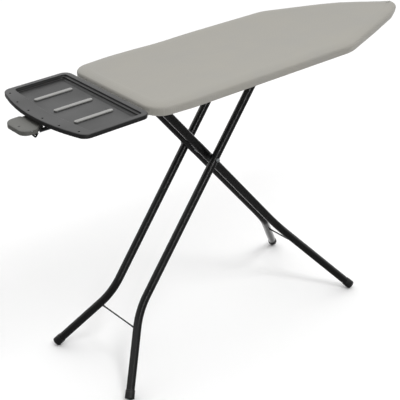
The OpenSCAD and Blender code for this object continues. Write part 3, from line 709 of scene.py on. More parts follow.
class IRONING_OT_stage(bpy.types.Operator):
    """Floor, soft studio light and the camera"""
    bl_idname = "ironing.stage"
    bl_label = "Stage"

    def execute(self, context):
        scene = context.scene
        settings = scene.ironing_stage
        scene.view_settings.view_transform = "Standard"
        half = FLOOR_SIZE / 2
        bm = bmesh.new()
        for spot in ((-half, -half), (half, -half), (half, half), (-half, half)):
            bm.verts.new((*spot, 0))
        bm.faces.new(bm.verts)
        floor = finish_mesh(bm, "floor")

        def matt_paper(tree, coords, shader):
            # Seamless paper: matt and even, with a barely visible fibre.
            fibre = speckle(tree, coords, 30, 2.0)
            tone = mixed(tree, fibre, tuple(settings.floor), shade(tuple(settings.floor), 1.02))
            tree.links.new(tone, shader.inputs["Base Color"])
            shader.inputs["Roughness"].default_value = 0.95
            shader.inputs["Specular IOR Level"].default_value = 0.1

        floor.data.materials.append(surface("Seamless paper", matt_paper))
        floor.visible_glossy = False

        scene.world = self.studio(settings)
        middle = Vector((0, 0, 0.5))
        place = Vector(KEY_PLACE)
        lamp = bpy.data.lights.new("key_light", "AREA")
        lamp.shape = "RECTANGLE"
        lamp.size, lamp.size_y, lamp.energy = 0.6, 0.9, 27
        key = bpy.data.objects.new("key_light", lamp)
        facing = (place - middle).to_track_quat("Z", "Y")
        key.matrix_world = Matrix.Translation(place) @ facing.to_matrix().to_4x4()
        scene.collection.objects.link(key)
        # a low narrow strip, square to the front tubes, that draws a line of light down each of them
        strip = bpy.data.lights.new("strip_light", "AREA")
        strip.shape = "RECTANGLE"
        strip.size, strip.size_y, strip.energy = 0.1, 2.4, 22
        along = (CROSSBAR - PIVOT).normalized()
        toward = Matrix.Rotation(math.radians(-24), 3, along) @ Vector((0, -1, 0))
        across = along.cross(toward)
        lamp_axes = Matrix((across, along, toward)).transposed().to_4x4()
        low = bpy.data.objects.new("strip_light", strip)
        low.visible_diffuse = False     # it only draws the bright line down the tubes
        low.matrix_world = Matrix.Translation(PIVOT + toward * 3.5) @ lamp_axes
        scene.collection.objects.link(low)

        lens = bpy.data.cameras.new("camera")
        lens.lens, lens.sensor_width = 101.95, 36
        lens.shift_x, lens.shift_y = 0.0008, -0.0048
        lens.clip_end = 60
        camera = bpy.data.objects.new("camera", lens)
        yaw, pitch = CAMERA_YAW, CAMERA_PITCH
        look = Vector((math.cos(pitch) * math.cos(yaw), math.cos(pitch) * math.sin(yaw), math.sin(pitch)))
        facing = (-look).to_track_quat("Z", "Y")
        camera.matrix_world = Matrix.Translation(CAMERA_PLACE) @ facing.to_matrix().to_4x4()
        scene.collection.objects.link(camera)
        scene.camera = camera
        return {"FINISHED"}

    def studio(self, settings):
        """White behind the scene; the light comes from a large soft ceiling that leans away from the camera."""
        world = bpy.data.worlds.new("Studio")
        world.use_nodes = True
        tree = world.node_tree
        background = next(n for n in tree.nodes if n.type == "BACKGROUND")
        way = add(tree, "ShaderNodeTexCoord").outputs["Generated"]
        lean = add(tree, "ShaderNodeVectorMath", {"operation": "DOT_PRODUCT"}, {
            0: way, 1: (0.39, 0.45, 0.80)}).outputs["Value"]
        ceiling = add(tree, "ShaderNodeMapRange", {"interpolation_type": "SMOOTHSTEP"}, {
            "Value": lean, "From Min": -0.05, "From Max": 0.75,
            "To Min": settings.shade, "To Max": settings.ambient}).outputs[0]
        height = add(tree, "ShaderNodeSeparateXYZ", None, {0: way}).outputs["Z"]
        horizon = add(tree, "ShaderNodeMapRange", {"interpolation_type": "SMOOTHSTEP"}, {
            "Value": height, "From Min": -0.05, "From Max": 0.2, "To Min": 0.0, "To Max": 1.0}).outputs[0]
        away = add(tree, "ShaderNodeVectorMath", {"operation": "DOT_PRODUCT"}, {
            0: way, 1: (0.61, 0.70, -0.37)}).outputs["Value"]
        below = add(tree, "ShaderNodeMapRange", {"interpolation_type": "SMOOTHSTEP"}, {
            "Value": away, "From Min": 0.7, "From Max": 1.0,
            "To Min": settings.shade, "To Max": settings.ambient}).outputs[0]
        light = add(tree, "ShaderNodeMix", {"data_type": "FLOAT"}, {
            "Factor_Float": horizon, "A_Float": below, "B_Float": ceiling}).outputs[0]
        seen = add(tree, "ShaderNodeLightPath").outputs["Is Camera Ray"]
        strength = add(tree, "ShaderNodeMix", {"data_type": "FLOAT"}, {
            "Factor_Float": seen, "A_Float": light, "B_Float": 1.0}).outputs[0]
        background.inputs["Color"].default_value = (1, 1, 1, 1)
        tree.links.new(strength, background.inputs["Strength"])
        return world


class IRONING_OT_cover(bpy.types.Operator):
    """Cotton cover stretched over the pad, with its gathered hem and stitches"""
    bl_idname = "ironing.cover"
    bl_label = "Cover"

    def execute(self, context):
        settings = context.scene.ironing_cover
        ring = board_outline()
        out = normals(ring)
        hem = settings.hem_width / MM
        lengths = [0.0]
        for a, b in zip(ring, ring[1:]):
            lengths.append(lengths[-1] + (b - a).length)
        perimeter = lengths[-1] + (ring[0] - ring[-1]).length
        gathers = round(perimeter / (settings.gather_pitch / MM))

        def ripple(i, phase=0.0):
            """Uneven waves along the hem, from -1 to 1."""
            turn = 2 * math.pi * lengths[i] / perimeter
            return 0.62 * math.sin(gathers * turn + 1.3 * math.sin(9 * turn) + phase) + 0.38 * math.sin(
                (gathers * 1.7 // 1) * turn + 2.1 * math.sin(5 * turn) - phase)

        def tight(i):
            """How sharply the edge turns at a point, where the cloth gathers more."""
            a, b, c = ring[i - 6], ring[i], ring[(i + 6) % len(ring)]
            return min(1.0, abs((b - a).angle(c - b, 0)) / 0.5)

        curl = [tight(i) for i in range(len(ring))]
        base = HEM_Z / MM
        rings = []

        def add_ring(depth, z, wave=0.0, lift=0.0, phase=0.0):
            row = []
            for i, (p, n) in enumerate(zip(ring, out)):
                amount = ripple(i, phase) * (0.35 + 0.65 * curl[i])
                d = depth - wave * amount
                row.append(board_point(p.x - n.x * d, p.y - n.y * d, (z + lift * (0.5 + 0.5 * amount)) * MM))
            rings.append(row)

        gather = settings.gather_depth / MM
        # hem: from its elastic edge outwards, under the board
        for depth, z, wave, lift in (
                (hem - 1.2, base + 2.2, 1.5, 1.6), (hem, base + 1.2, 1.7, 1.6),
                (hem - 0.6, base + 0.1, 1.7, 1.5), (hem - 3, base - 0.2, 1.5, 1.3),
                (hem - 5.5, base + 0.3, 1.4, 1.2), (hem - 6.5, base + 0.9, 1.3, 1.0),
                (hem - 9, base + 0.8, 1.2, 1.0), (hem - 14, base + 0.5, 0.9, 0.8), (18, base + 0.3, 0.6, 0.6),
                (12, base + 0.1, 0.4, 0.4), (7, base, 0.3, 0.2), (3.6, base, 0.15, 0),
                (2.6, base + 0.15, 0.08, 0), (1.8, base + 0.7, 0, 0), (1.2, base + 2, 0, 0)):
            add_ring(depth, z, wave * gather / 1.6, lift * gather / 1.6 * 0.6)
        # side: upright, up to the soft edge over the padding
        for t in (0.25, 0.5, 0.75):
            rings.append([
                board_point(p.x - n.x * 1.2 * (1 - t) ** 1.5, p.y - n.y * 1.2 * (1 - t) ** 1.5,
                            (base + 2 + (soft_edge(p.x)[2] - base - 2) * t) * MM)
                for p, n in zip(ring, out)])
        for t in (0, 0.15, 0.3, 0.45, 0.6, 0.72, 0.84, 0.92, 1, 1.15, 1.3, 1.5, 1.75, 2):
            spots = [edge_profile(p.x, t) for p in ring]
            rings.append([board_point(p.x - n.x * d, p.y - n.y * d, z * MM)
                          for p, n, (d, z) in zip(ring, out, spots)])

        bm = bmesh.new()
        loops = rings_to_mesh(bm, rings)
        inner = loops[-1]
        right = inner[:ROWS]
        left = list(reversed(inner[ROWS + COLUMNS - 1:2 * ROWS + COLUMNS - 1]))
        nose = inner[ROWS:ROWS + COLUMNS - 1]
        end = list(reversed(inner[2 * ROWS + COLUMNS - 1:]))
        grid = []
        for j in range(ROWS):
            if j == 0:
                row = [right[0], *end, left[0]]
            elif j == ROWS - 1:
                row = [right[-1], *nose, left[-1]]
            else:
                a, b = right[j].co, left[j].co
                row = [right[j]]
                along = min(j, ROWS - 1 - j) * (right[ROWS // 2].co - right[ROWS // 2 - 1].co).length
                for i in range(1, COLUMNS):
                    p = a.lerp(b, i / COLUMNS)
                    away = min(along, min(i, COLUMNS - i) * (b - a).length / COLUMNS)
                    soft = noise.noise(Vector((p.x * 5.0, p.y * 7.0, 0.3)))
                    p.z = TOP_Z - (sink((p.x - END_X) / MM) + 0.02 + 0.2 * (
                        0.5 + 0.5 * soft) * smooth_step(away / 0.02)) * MM
                    row.append(bm.verts.new(p))
                row.append(left[j])
            grid.append(row)
        for a, b in zip(grid, grid[1:]):
            for i in range(COLUMNS):
                bm.faces.new((a[i], b[i], b[i + 1], a[i + 1]))
        bmesh.ops.recalc_face_normals(bm, faces=bm.faces)
        cloth = finish_mesh(bm, "cover_cloth", 80)
        turn_up(cloth, lambda f: f.center.z)
        thicken(cloth, settings.cloth_thickness)
        hand_over(cloth, "board", material_for("cover_cloth"), ["board_cover"])

        # stitches that close the channel of the elastic, one row round the hem
        path = []
        for i, (p, n) in enumerate(zip(ring, out)):
            amount = ripple(i) * (0.35 + 0.65 * curl[i])
            depth = (hem - 6.5) - 1.3 * gather / 1.6 * amount
            z = base + 0.9 + gather / 1.6 * 0.6 * (0.5 + 0.5 * amount)
            path.append(board_point(p.x - n.x * depth, p.y - n.y * depth, z * MM))
        line = bpy.data.meshes.new("hem_line")
        count = len(path)
        line.from_pydata(path, [(i, (i + 1) % count) for i in range(count)], [])
        stitches = generate("cover_stitches", stitch_tree(), {
            "Pitch": 0.0042, "Length": 0.003, "Thickness": 0.0006,
            "Material": surface("Polyester thread, twisted", sewing_thread)}, line)
        hand_over(stitches, "board", surface("Polyester thread, twisted", sewing_thread))
        return {"FINISHED"}


def stitch_tree():
    """Short stitches laid end to end along a line of edges."""
    tree, given = new_tree("Stitches", [
        ("Pitch", "NodeSocketFloat", 0.004), ("Length", "NodeSocketFloat", 0.003),
        ("Thickness", "NodeSocketFloat", 0.0006), ("Material", "NodeSocketMaterial", None)])
    curve = add(tree, "GeometryNodeMeshToCurve", None, {"Mesh": given["Geometry"]})
    points = add(tree, "GeometryNodeCurveToPoints", {"mode": "LENGTH"}, {
        "Curve": curve.outputs[0], "Length": given["Pitch"]})
    ball = add(tree, "GeometryNodeMeshUVSphere", None, {"Segments": 6, "Rings": 4, "Radius": 0.5})
    size = add(tree, "ShaderNodeCombineXYZ", None, {
        "X": given["Thickness"], "Y": given["Thickness"], "Z": given["Length"]})
    shaped = add(tree, "GeometryNodeTransform", None, {
        "Geometry": ball.outputs["Mesh"], "Scale": size.outputs[0]})
    placed = add(tree, "GeometryNodeInstanceOnPoints", None, {
        "Points": points.outputs["Points"], "Instance": shaped.outputs[0],
        "Rotation": points.outputs["Rotation"]})
    return close_tree(tree, placed.outputs[0], given["Material"])


class IRONING_OT_pad(bpy.types.Operator):
    """Foam pad between the cover and the steel board"""
    bl_idname = "ironing.pad"
    bl_label = "Pad"

    def execute(self, context):
        ring = board_outline()
        out = normals(ring)
        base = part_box("foam_pad")[0][2] / MM
        gap = 2.2
        rings = []

        def add_ring(place):
            rows = []
            for p, n in zip(ring, out):
                depth, z = place(p.x)
                rows.append(board_point(p.x - n.x * depth, p.y - n.y * depth, z * MM))
            rings.append(rows)

        start = base + 0.8
        for more, z in ((12, base + 0.2), (5, base + 0.2), (2, base + 0.25), (0.6, base + 0.4), (0, start)):
            add_ring(lambda x: (min(36, under_edge(x, start, gap) + more), z))

        def round_part(x, t):
            """From the start height, up the round part and along the slow rise."""
            radius, _, low = soft_edge(x)
            first = math.asin(min(0.96, (start - low) / (radius - gap))) / (math.pi / 2 - EASE)
            depth, z = edge_profile(x, first + (1 - first) * t if t < 1 else t, gap)
            return min(36, depth), z

        for t in (0.25, 0.5, 0.75, 1, 1.25, 1.5, 1.75, 2):
            add_ring(lambda x: round_part(x, t))
        bm = bmesh.new()
        rings_to_mesh(bm, rings, cap_first=True, cap_last=True)
        pad = finish_mesh(bm, "pad_foam", 60)
        hand_over(pad, "board", material_for("pad_foam"), ["foam_pad"])
        return {"FINISHED"}


class IRONING_OT_pan(bpy.types.Operator):
    """Perforated steel board with a turned-down edge"""
    bl_idname = "ironing.pan"
    bl_label = "Steel board"

    def execute(self, context):
        ring = board_outline()
        out = normals(ring)
        low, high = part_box("board_pan")
        thick = 1.0
        wall = 3.2
        top = high[2]

        def hung(p, extra, z):
            """How far in the sheet's outer surface lies, so that the cover can go round it."""
            return max(wall + extra, under_edge(p.x, z / MM, 1.9) + 0.3 * extra)
        pitch = 18.0
        border = 44.0
        # the perforated cells: those whose corners all lie well inside the outline
        inner = [Vector((p.x - n.x * border, p.y - n.y * border)) for p, n in zip(ring, out)]

        def half_width(x):
            widths = [abs(p.y) for p in inner if abs(p.x - x) < 8]
            return max(widths) if widths else 0

        first, last = min(p.x for p in inner), max(p.x for p in inner)
        cells = {}
        columns = int((last - first) // pitch)
        for i in range(columns):
            x = first + i * pitch
            room = min(half_width(x + 1), half_width(x + pitch - 1))
            for j in range(int(room // pitch)):
                for side in (j, -j - 1):
                    cells[(i, side)] = (x, side * pitch)
        # sheet: outline and stepped hole, filled
        bm = bmesh.new()
        edge_ring = [(p.x - n.x * hung(p, 3, top), p.y - n.y * hung(p, 3, top)) for p, n in zip(ring, out)]
        loop = [bm.verts.new(board_point(*p, top)) for p in edge_ring]
        for a, b in zip(loop, loop[1:] + loop[:1]):
            bm.edges.new((a, b))
        seen = {}

        def grid_vert(i, j):
            if (i, j) not in seen:
                seen[(i, j)] = bm.verts.new(board_point(first + i * pitch, j * pitch, top))
            return seen[(i, j)]

        for (i, j) in cells:
            for step, a, b in (((-1, 0), (0, 0), (0, 1)), ((1, 0), (1, 0), (1, 1)),
                               ((0, -1), (0, 0), (1, 0)), ((0, 1), (0, 1), (1, 1))):
                if (i + step[0], j + step[1]) not in cells:
                    bm.edges.new((grid_vert(i + a[0], j + a[1]), grid_vert(i + b[0], j + b[1])))
        bmesh.ops.triangle_fill(bm, use_beauty=True, use_dissolve=False, edges=bm.edges[:])
        for face in bm.faces:
            if face.normal.z < 0:
                face.normal_flip()
        # rounded shoulder, wall and lip, hung on the sheet's outer loop
        rows = [loop]
        lip_z = low[2] + 0.0001
        for extra, z in ((1.2, top - 0.0003), (0.4, top - 0.0012), (0, top - 0.0026), (0, top - 0.005),
                         (0, top - 0.009), (0, low[2] + 0.0024), (0.4, low[2] + 0.001), (1.4, lip_z),
                         (10.4, lip_z), (11.4, lip_z + 0.0007)):
            row = []
            for p, n in zip(ring, out):
                depth = hung(p, extra, z)
                row.append(bm.verts.new(board_point(p.x - n.x * depth, p.y - n.y * depth, z)))
            rows.append(row)
        count = len(ring)
        for a, b in zip(rows, rows[1:]):
            for i in range(count):
                k = (i + 1) % count
                bm.faces.new((a[i], b[i], b[k], a[k]))
        sheet = finish_mesh(bm, "steel_sheet", 50)
        turn_up(sheet, lambda f: f.center.z)
        # perforated tiles on the cells
        spots = bpy.data.meshes.new("cell_points")
        spots.from_pydata([board_point(x + pitch / 2, y + pitch / 2, top) for x, y in cells.values()], [], [])
        tile = bmesh.new()
        hole, sides, half = 5.2, 12, pitch / 2
        square = []
        for k in range(sides):
            a = 2 * math.pi * (k + 0.5) / sides
            reach = half / max(abs(math.cos(a)), abs(math.sin(a)))
            square.append((reach * math.cos(a), reach * math.sin(a)))
        corners_at = {1: (half, half), 4: (-half, half), 7: (-half, -half), 10: (half, -half)}
        rims = [[tile.verts.new((hole * math.cos(2 * math.pi * (k + 0.5) / sides) * MM,
                                 hole * math.sin(2 * math.pi * (k + 0.5) / sides) * MM, -drop * MM))
                 for k in range(sides)] for drop in (0.0, 1.2)]
        wide = [tile.verts.new((x * MM, y * MM, 0)) for x, y in square]
        for k in range(sides):
            n = (k + 1) % sides
            corner_vert = corners_at.get(k)
            if corner_vert:
                c = tile.verts.new((corner_vert[0] * MM, corner_vert[1] * MM, 0))
                tile.faces.new((rims[0][k], wide[k], c, wide[n], rims[0][n]))
            else:
                tile.faces.new((rims[0][k], wide[k], wide[n], rims[0][n]))
            tile.faces.new((rims[1][k], rims[0][k], rims[0][n], rims[1][n]))
        tile_obj = finish_mesh(tile, "tile", 30)
        turn_up(tile_obj, lambda f: f.area)
        tiles = generate("tiles", spread_tree("Perforations"), {
            "Item": tile_obj, "Material": material_for("board_steel")}, spots)
        bpy.data.objects.remove(tile_obj)
        bm = melt(sheet, tiles)
        bmesh.ops.remove_doubles(bm, verts=bm.verts, dist=2e-5)
        mesh = bpy.data.meshes.new("steel_board")
        for face in bm.faces:
            face.smooth = False
        bm.to_mesh(mesh)
        bm.free()
        pan = bpy.data.objects.new("steel_board", mesh)
        context.scene.collection.objects.link(pan)
        thicken(pan, thick * MM)
        hand_over(pan, "board", material_for("board_steel"), ["board_pan"])
        return {"FINISHED"}


def spread_tree(name):
    """Copies of an item on every point of a mesh."""
    tree, given = new_tree(name, [
        ("Item", "NodeSocketObject", None), ("Material", "NodeSocketMaterial", None)])
    item = add(tree, "GeometryNodeObjectInfo", {"transform_space": "ORIGINAL"}, {"Object": given["Item"]})
    points = add(tree, "GeometryNodeMeshToPoints", None, {"Mesh": given["Geometry"]})
    placed = add(tree, "GeometryNodeInstanceOnPoints", None, {
        "Points": points.outputs[0], "Instance": item.outputs["Geometry"]})
    return close_tree(tree, placed.outputs[0], given["Material"])


# the tray's outer edge, its ledge and its floor: (mm from the board's square end, mm to the side, corner radius)
TRAY_CORNERS = [(-236, -204, 30), (-11, -204, 26), (-11, 204, 26), (-236, 204, 30), (-302, 0, 560)]
LEDGE_CORNERS = [(-208, -188, 12), (-29, -188, 10), (-29, 188, 10), (-208, 188, 12), (-226, 0, 400)]
FLOOR_CORNERS = [
    (-207.7, -187.7, 12), (-37, -187.7, 10), (-37, 187.7, 10), (-207.7, 187.7, 12), (-225.7, 0, 400)]
VENTS = [(-259, 35), (-251, 104), (-233, 171)]      # middles of the vents on each side


def matched(corners, per_corner=10, per_straight=14):
    """An outline with equal counts on each arc and straight, so that it matches others with as many corners."""
    n = len(corners)
    arcs = []
    for i in range(n):
        arc = [Vector(p) for p in corner_arc(corners[i - 1], corners[i], corners[(i + 1) % n], 1)]
        arcs.append(resample(arc, per_corner, closed=False))
    out = []
    for i in range(n):
        out += arcs[i]
        a, b = arcs[i][-1], arcs[(i + 1) % n][0]
        out += [a.lerp(b, k / per_straight) for k in range(1, per_straight)]
    return out


class IRONING_OT_tray(bpy.types.Operator):
    """Moulded iron rest with a rolled edge, a ledge and a recessed floor"""
    bl_idname = "ironing.tray"
    bl_label = "Iron rest"

    def execute(self, context):
        settings = context.scene.ironing_tray
        outer, ledge, floor = matched(TRAY_CORNERS), matched(LEDGE_CORNERS), matched(FLOOR_CORNERS)
        out = {id(p): normals(p) for p in (outer, ledge, floor)}
        top = TRAY_TOP / MM
        base = TRAY_BASE / MM
        rings = []

        def add_ring(path, depth, z):
            rings.append(inset(path, out[id(path)], depth, z))

        roll = 2.2
        add_ring(outer, 0.35, base)
        add_ring(outer, 0.0, base + 0.5)
        for t in (0.3, 0.6, 0.9):
            add_ring(outer, 0.0, base + (top - base - roll) * t)
        for a in range(0, 91, 15):
            angle = math.radians(a)
            add_ring(outer, roll * (1 - math.cos(angle)), top - roll + roll * math.sin(angle))
        add_ring(outer, 6.5, top - 0.02)
        lip = 1.4
        add_ring(ledge, -lip - 2, top - 0.02)
        for a in range(90, -1, -15):
            angle = math.radians(a)
            add_ring(ledge, -lip * (1 - math.cos(angle)) if a else 0, top - lip + lip * math.sin(angle))
        add_ring(ledge, 0.3, top - 4.6)
        add_ring(ledge, 0.7, top - 5.3)
        add_ring(ledge, 1.1, top - 5.5)
        add_ring(floor, -0.6, top - 5.55)
        add_ring(floor, -0.1, top - 5.8)
        add_ring(floor, 0.1, top - 6.4)
        add_ring(floor, 0.3, top - 9.5)
        for a in (30, 60, 90):
            angle = math.radians(a)
            add_ring(floor, 0.3 + 2 * (1 - math.cos(angle)), top - 9.5 - 2 * math.sin(angle))
        add_ring(floor, 12, top - 11.5)
        bm = bmesh.new()
        rings_to_mesh(bm, rings, cap_last=True)
        tray = finish_mesh(bm, "tray_shell", 50)
        turn_up(tray, lambda f: f.area)
        thicken(tray, settings.skin, even=False)
        # vents: countersunk holes, cut along the outer rim
        bm = bmesh.new()
        for side in (1, -1):
            for x, y in VENTS:
                turned(bm, board_point(x, side * y, (base - 2) * MM), Vector((0, 0, 1)), [
                    (0, 0.003), ((top - base + 1.2) * MM, 0.003), ((top - base + 2.4) * MM, 0.0042)], 20)
        cut_away(tray, bm, "vent_cutter")
        bm = melt(tray)
        # a short collar hangs below each vent
        for side in (1, -1):
            for x, y in VENTS:
                section = ((0.003, base + 1), (0.0044, base + 1), (0.0046, top - 1), (0.003, top - 1),
                           (0.003, base + 1))
                rings_to_mesh(bm, [
                    [board_point(x, side * y, z * MM) + Vector((
                        radius * math.cos(math.pi * k / 10), radius * math.sin(math.pi * k / 10), 0))
                     for k in range(20)]
                    for radius, z in section])
        tray = finish_mesh(bm, "tray_shell", 42)
        hand_over(tray, "board", material_for("tray_plastic"), ["iron_tray"])
        return {"FINISHED"}


class IRONING_OT_strips(bpy.types.Operator):
    """Three heat-proof strips with slanted ribs"""
    bl_idname = "ironing.strips"
    bl_label = "Strips"

    def execute(self, context):
        settings = context.scene.ironing_tray
        low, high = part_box("heat_strips")
        width = 0.013
        pitch = (high[1] - low[1] - width) / 2
        rib = 0.0008
        silicone = material_for("strip_silicone")
        bm = bmesh.new()
        for row in range(3):
            y = low[1] + width / 2 + row * pitch
            ends = (low[0] + width / 2, high[0] - width / 2)
            loop = []
            for k in range(33):
                side = k <= 16
                angle = math.pi * k / 16 + math.pi / 2 if side else math.pi * (k - 17) / 16 - math.pi / 2
                x = ends[0] if side else ends[1]
                loop.append((x, math.cos(angle), math.sin(angle)))
            rings = []
            for shrink, z in ((0.0004, low[2]), (0, low[2] + 0.0006), (0, high[2] - rib - 0.0012),
                              (0.0004, high[2] - rib - 0.0004), (0.0013, high[2] - rib)):
                r = width / 2 - shrink
                rings.append([(x + c * r, y + s * r, z) for x, c, s in loop])
            rings_to_mesh(bm, rings, cap_first=True, cap_last=True)
        body = finish_mesh(bm, "strip_bodies", 40)
        count = int((high[0] - low[0] - width * 0.9) / settings.rib_pitch)
        # one row of ribs on each strip
        starts = bpy.data.meshes.new("rib_points")
        points = []
        for row in range(3):
            for i in range(count + 1):
                x = (low[0] + high[0]) / 2 + (i - count / 2) * settings.rib_pitch
                points.append((x, low[1] + width / 2 + row * pitch, high[2] - rib))
        starts.from_pydata(points, [], [])
        bar = bmesh.new()
        sweep(bar, [(-0.0052, 0, 0), (-0.0035, 0, 0), (0.0035, 0, 0), (0.0052, 0, 0)], 0.0009, 8,
              squeeze=lambda i: (1.0 if i in (1, 2) else 0.6, rib / 0.0009 if i in (1, 2) else 0.2))
        bmesh.ops.rotate(bar, verts=bar.verts, cent=(0, 0, 0), matrix=Matrix.Rotation(math.radians(62), 3, "Z"))
        bar_obj = finish_mesh(bar, "rib", 60)
        ribs = generate("ribs", spread_tree("Ribs"), {"Item": bar_obj, "Material": silicone}, starts)
        bpy.data.objects.remove(bar_obj)
        strips = finish_mesh(melt(body, ribs), "strips", 40)
        hand_over(strips, "board", silicone, ["heat_strips"])
        return {"FINISHED"}


# ---- Legs ----

REAR = {"gauge": 34.4, "bend": 502, "flare": 26.7, "over": 18, "brace": 630}
FRONT = {"gauge": 71.2, "bend": 540, "flare": 27.5, "over": 14, "brace": 594}
FOOT_LENGTH = 28
FOOT_RADIUS = 15.5


class Leg:
    """The line of one leg: down from the pivot by u, and out to its side by v, in millimetres."""

    def __init__(self, top, shape, side, radius):
        run = (PIVOT - top)
        self.down = Vector((run.x, 0, run.z)).normalized()
        self.shape, self.side, self.radius = shape, side, radius
        self.top_u = -run.length / MM - shape["over"]
        flare = math.radians(shape["flare"])
        self.flare = flare
        self.start = shape["bend"] - radius * math.tan(flare / 2)
        self.bend_u = self.start + radius * math.sin(flare)
        self.bend_v = shape["gauge"] + radius * (1 - math.cos(flare))
        slope = math.asin(-self.down.z)
        rim = FOOT_RADIUS * math.sqrt(1 - (math.cos(flare) * math.sin(slope)) ** 2)
        self.end_u = (PIVOT.z / MM - rim) / math.sin(slope)

    def at(self, u, v):
        return PIVOT + self.down * u * MM + Vector((0, self.side * v * MM, 0))

    def point(self, u):
        """The middle of the tube at u."""
        if u <= self.start:
            return self.at(u, self.shape["gauge"])
        if u >= self.bend_u:
            return self.at(u, self.bend_v + (u - self.bend_u) * math.tan(self.flare))
        angle = math.asin((u - self.start) / self.radius)
        return self.at(u, self.shape["gauge"] + self.radius * (1 - math.cos(angle)))

    def end_axis(self):
        return (self.point(self.end_u) - self.point(self.end_u - 10)).normalized()


def legs(context):
    radius = context.scene.ironing_legs.bend_radius / MM
    return [(body, name, Leg(top, shape, side, radius), word)
            for body, name, top, shape in (("rear_legs", "rear", HINGE, REAR),
                                           ("front_legs", "front", CROSSBAR, FRONT))
            for side, word in ((1, "left"), (-1, "right"))]


class IRONING_OT_legs(bpy.types.Operator):
    """Four bent steel tubes, the rear pair pressed flat where they pass the front pair"""
    bl_idname = "ironing.legs"
    bl_label = "Leg tubes"

    def execute(self, context):
        settings = context.scene.ironing_legs
        r = settings.tube_diameter / 2
        dent = settings.dent
        for body, name, leg, word in legs(context):
            stops = [leg.top_u]
            while stops[-1] < leg.end_u - 6:
                last = stops[-1]
                fine = leg.start - 20 < last < leg.bend_u + 10 or name == "rear" and -90 < last < 30
                stops.append(min(leg.end_u - 4, last + (6 if fine else 24)))
            points = [leg.point(u) for u in stops]

            def squeeze(i, stops=stops, name=name):
                if name != "rear":
                    return 1, 1
                u = stops[i]
                press = smooth_step((u + 74) / 16) * (1 - smooth_step((u - 8) / 16))
                return 1 - press * dent / r, 1 + press * dent * 0.35 / r

            bm = bmesh.new()
            sweep(bm, points, r, 40, squeeze, round_ends=0.0007)
            tube = finish_mesh(bm, f"{name}_tube_{word}", 50)
            hand_over(tube, body, material_for("black_steel"), [f"{name}_leg_{word}"])
        return {"FINISHED"}


class IRONING_OT_feet(bpy.types.Operator):
    """Vinyl foot caps with a collar and a rounded floor end, and the plugs in the tubes' upper ends"""
    bl_idname = "ironing.feet"
    bl_label = "Foot caps and plugs"

    def execute(self, context):
        r = context.scene.ironing_legs.tube_diameter / 2 / MM
        tops = {"rear": [], "front": []}
        for body, name, leg, word in legs(context):
            axis = leg.end_axis()
            end = leg.point(leg.end_u)
            profile = [(0, r + 0.05), (0.2, r + 0.9), (1.0, r + 1.3), (3.4, r + 1.45), (4.0, r + 1.1),
                       (5.0, r + 1.1), (5.6, r + 1.55)]
            profile += [(FOOT_LENGTH * t, r + 1.5 + 0.35 * t) for t in (0.35, 0.5, 0.65, 0.8)]
            rim = 2.2
            for a in range(0, 91, 15):
                angle = math.radians(a)
                profile.append((FOOT_LENGTH - rim + rim * math.sin(angle),
                                FOOT_RADIUS - 0.05 - rim * (1 - math.cos(angle))))
            profile += [(FOOT_LENGTH - 0.3, 9.5), (FOOT_LENGTH - 1.5, 8.5), (FOOT_LENGTH - 1.5, 0.5)]
            bm = bmesh.new()
            turned(bm, end - axis * FOOT_LENGTH * MM, axis, [(a * MM, b * MM) for a, b in profile], 48)
            low = min(v.co.z for v in bm.verts)
            bmesh.ops.translate(bm, verts=bm.verts, vec=axis * (-low / axis.z))
            foot = finish_mesh(bm, f"{name}_cap_{word}", 40)
            hand_over(foot, body, material_for("foot_rubber"), [f"{name}_foot_{word}"])
            up = (leg.point(leg.top_u) - leg.point(leg.top_u + 10)).normalized()
            tops[name].append((body, leg.point(leg.top_u), up))
        for name, entries in tops.items():
            bm = bmesh.new()
            for body, place, up in entries:
                turned(bm, place - up * 4 * MM, up, [
                    (0, 0.0118), (0.0038, 0.012), (0.0041, r * MM), (0.0046, (r + 0.1) * MM),
                    (0.0054, (r - 0.2) * MM), (0.0058, (r - 1.2) * MM), (0.006, 0.0075), (0.006, 0.0005)], 40)
            plugs = finish_mesh(bm, f"{name}_plugs", 40)
            hand_over(plugs, entries[0][0], material_for("black_plastic"),
                      [f"{name}_leg_plugs"])
        return {"FINISHED"}


class IRONING_OT_braces(bpy.types.Operator):
    """Wire braces between the feet, with their ends pressed flat against the tubes"""
    bl_idname = "ironing.braces"
    bl_label = "Braces"

    def execute(self, context):
        r = context.scene.ironing_legs.tube_diameter / 2
        by_name = {(name, word): (body, leg) for body, name, leg, word in legs(context)}
        for name in ("rear", "front"):
            body, left_leg = by_name[(name, "left")]
            right_leg = by_name[(name, "right")][1]
            u = left_leg.shape["brace"]
            a, b = right_leg.point(u), left_leg.point(u)
            reach = r / math.cos(left_leg.flare)
            run = (b - a).normalized()
            a, b = a + run * (reach - 0.0012), b - run * (reach - 0.0012)
            stops = [0, 0.004, 0.012, 0.02, (b - a).length / 2, (b - a).length - 0.02,
                     (b - a).length - 0.012, (b - a).length - 0.004, (b - a).length]
            flat = {0: 0.62, 1: 0.62, 2: 0.75, 6: 0.75, 7: 0.62, 8: 0.62}
            bm = bmesh.new()
            sweep(bm, [a + run * s for s in stops], 0.0025, 16,
                  squeeze=lambda i: (1 / flat.get(i, 1) ** 0.5, flat.get(i, 1)))
            for end, way in ((a, -1), (b, 1)):      # weld beads
                turned(bm, end - run * way * 0.0016, run * way, [
                    (0, 0.0028), (0.0005, 0.0036), (0.0014, 0.0042), (0.0024, 0.0046), (0.003, 0.0008)], 14)
            brace = finish_mesh(bm, f"{name}_wire_brace", 45)
            hand_over(brace, body, material_for("black_steel"), [f"{name}_brace"])
        return {"FINISHED"}


# ---- Height lever ----

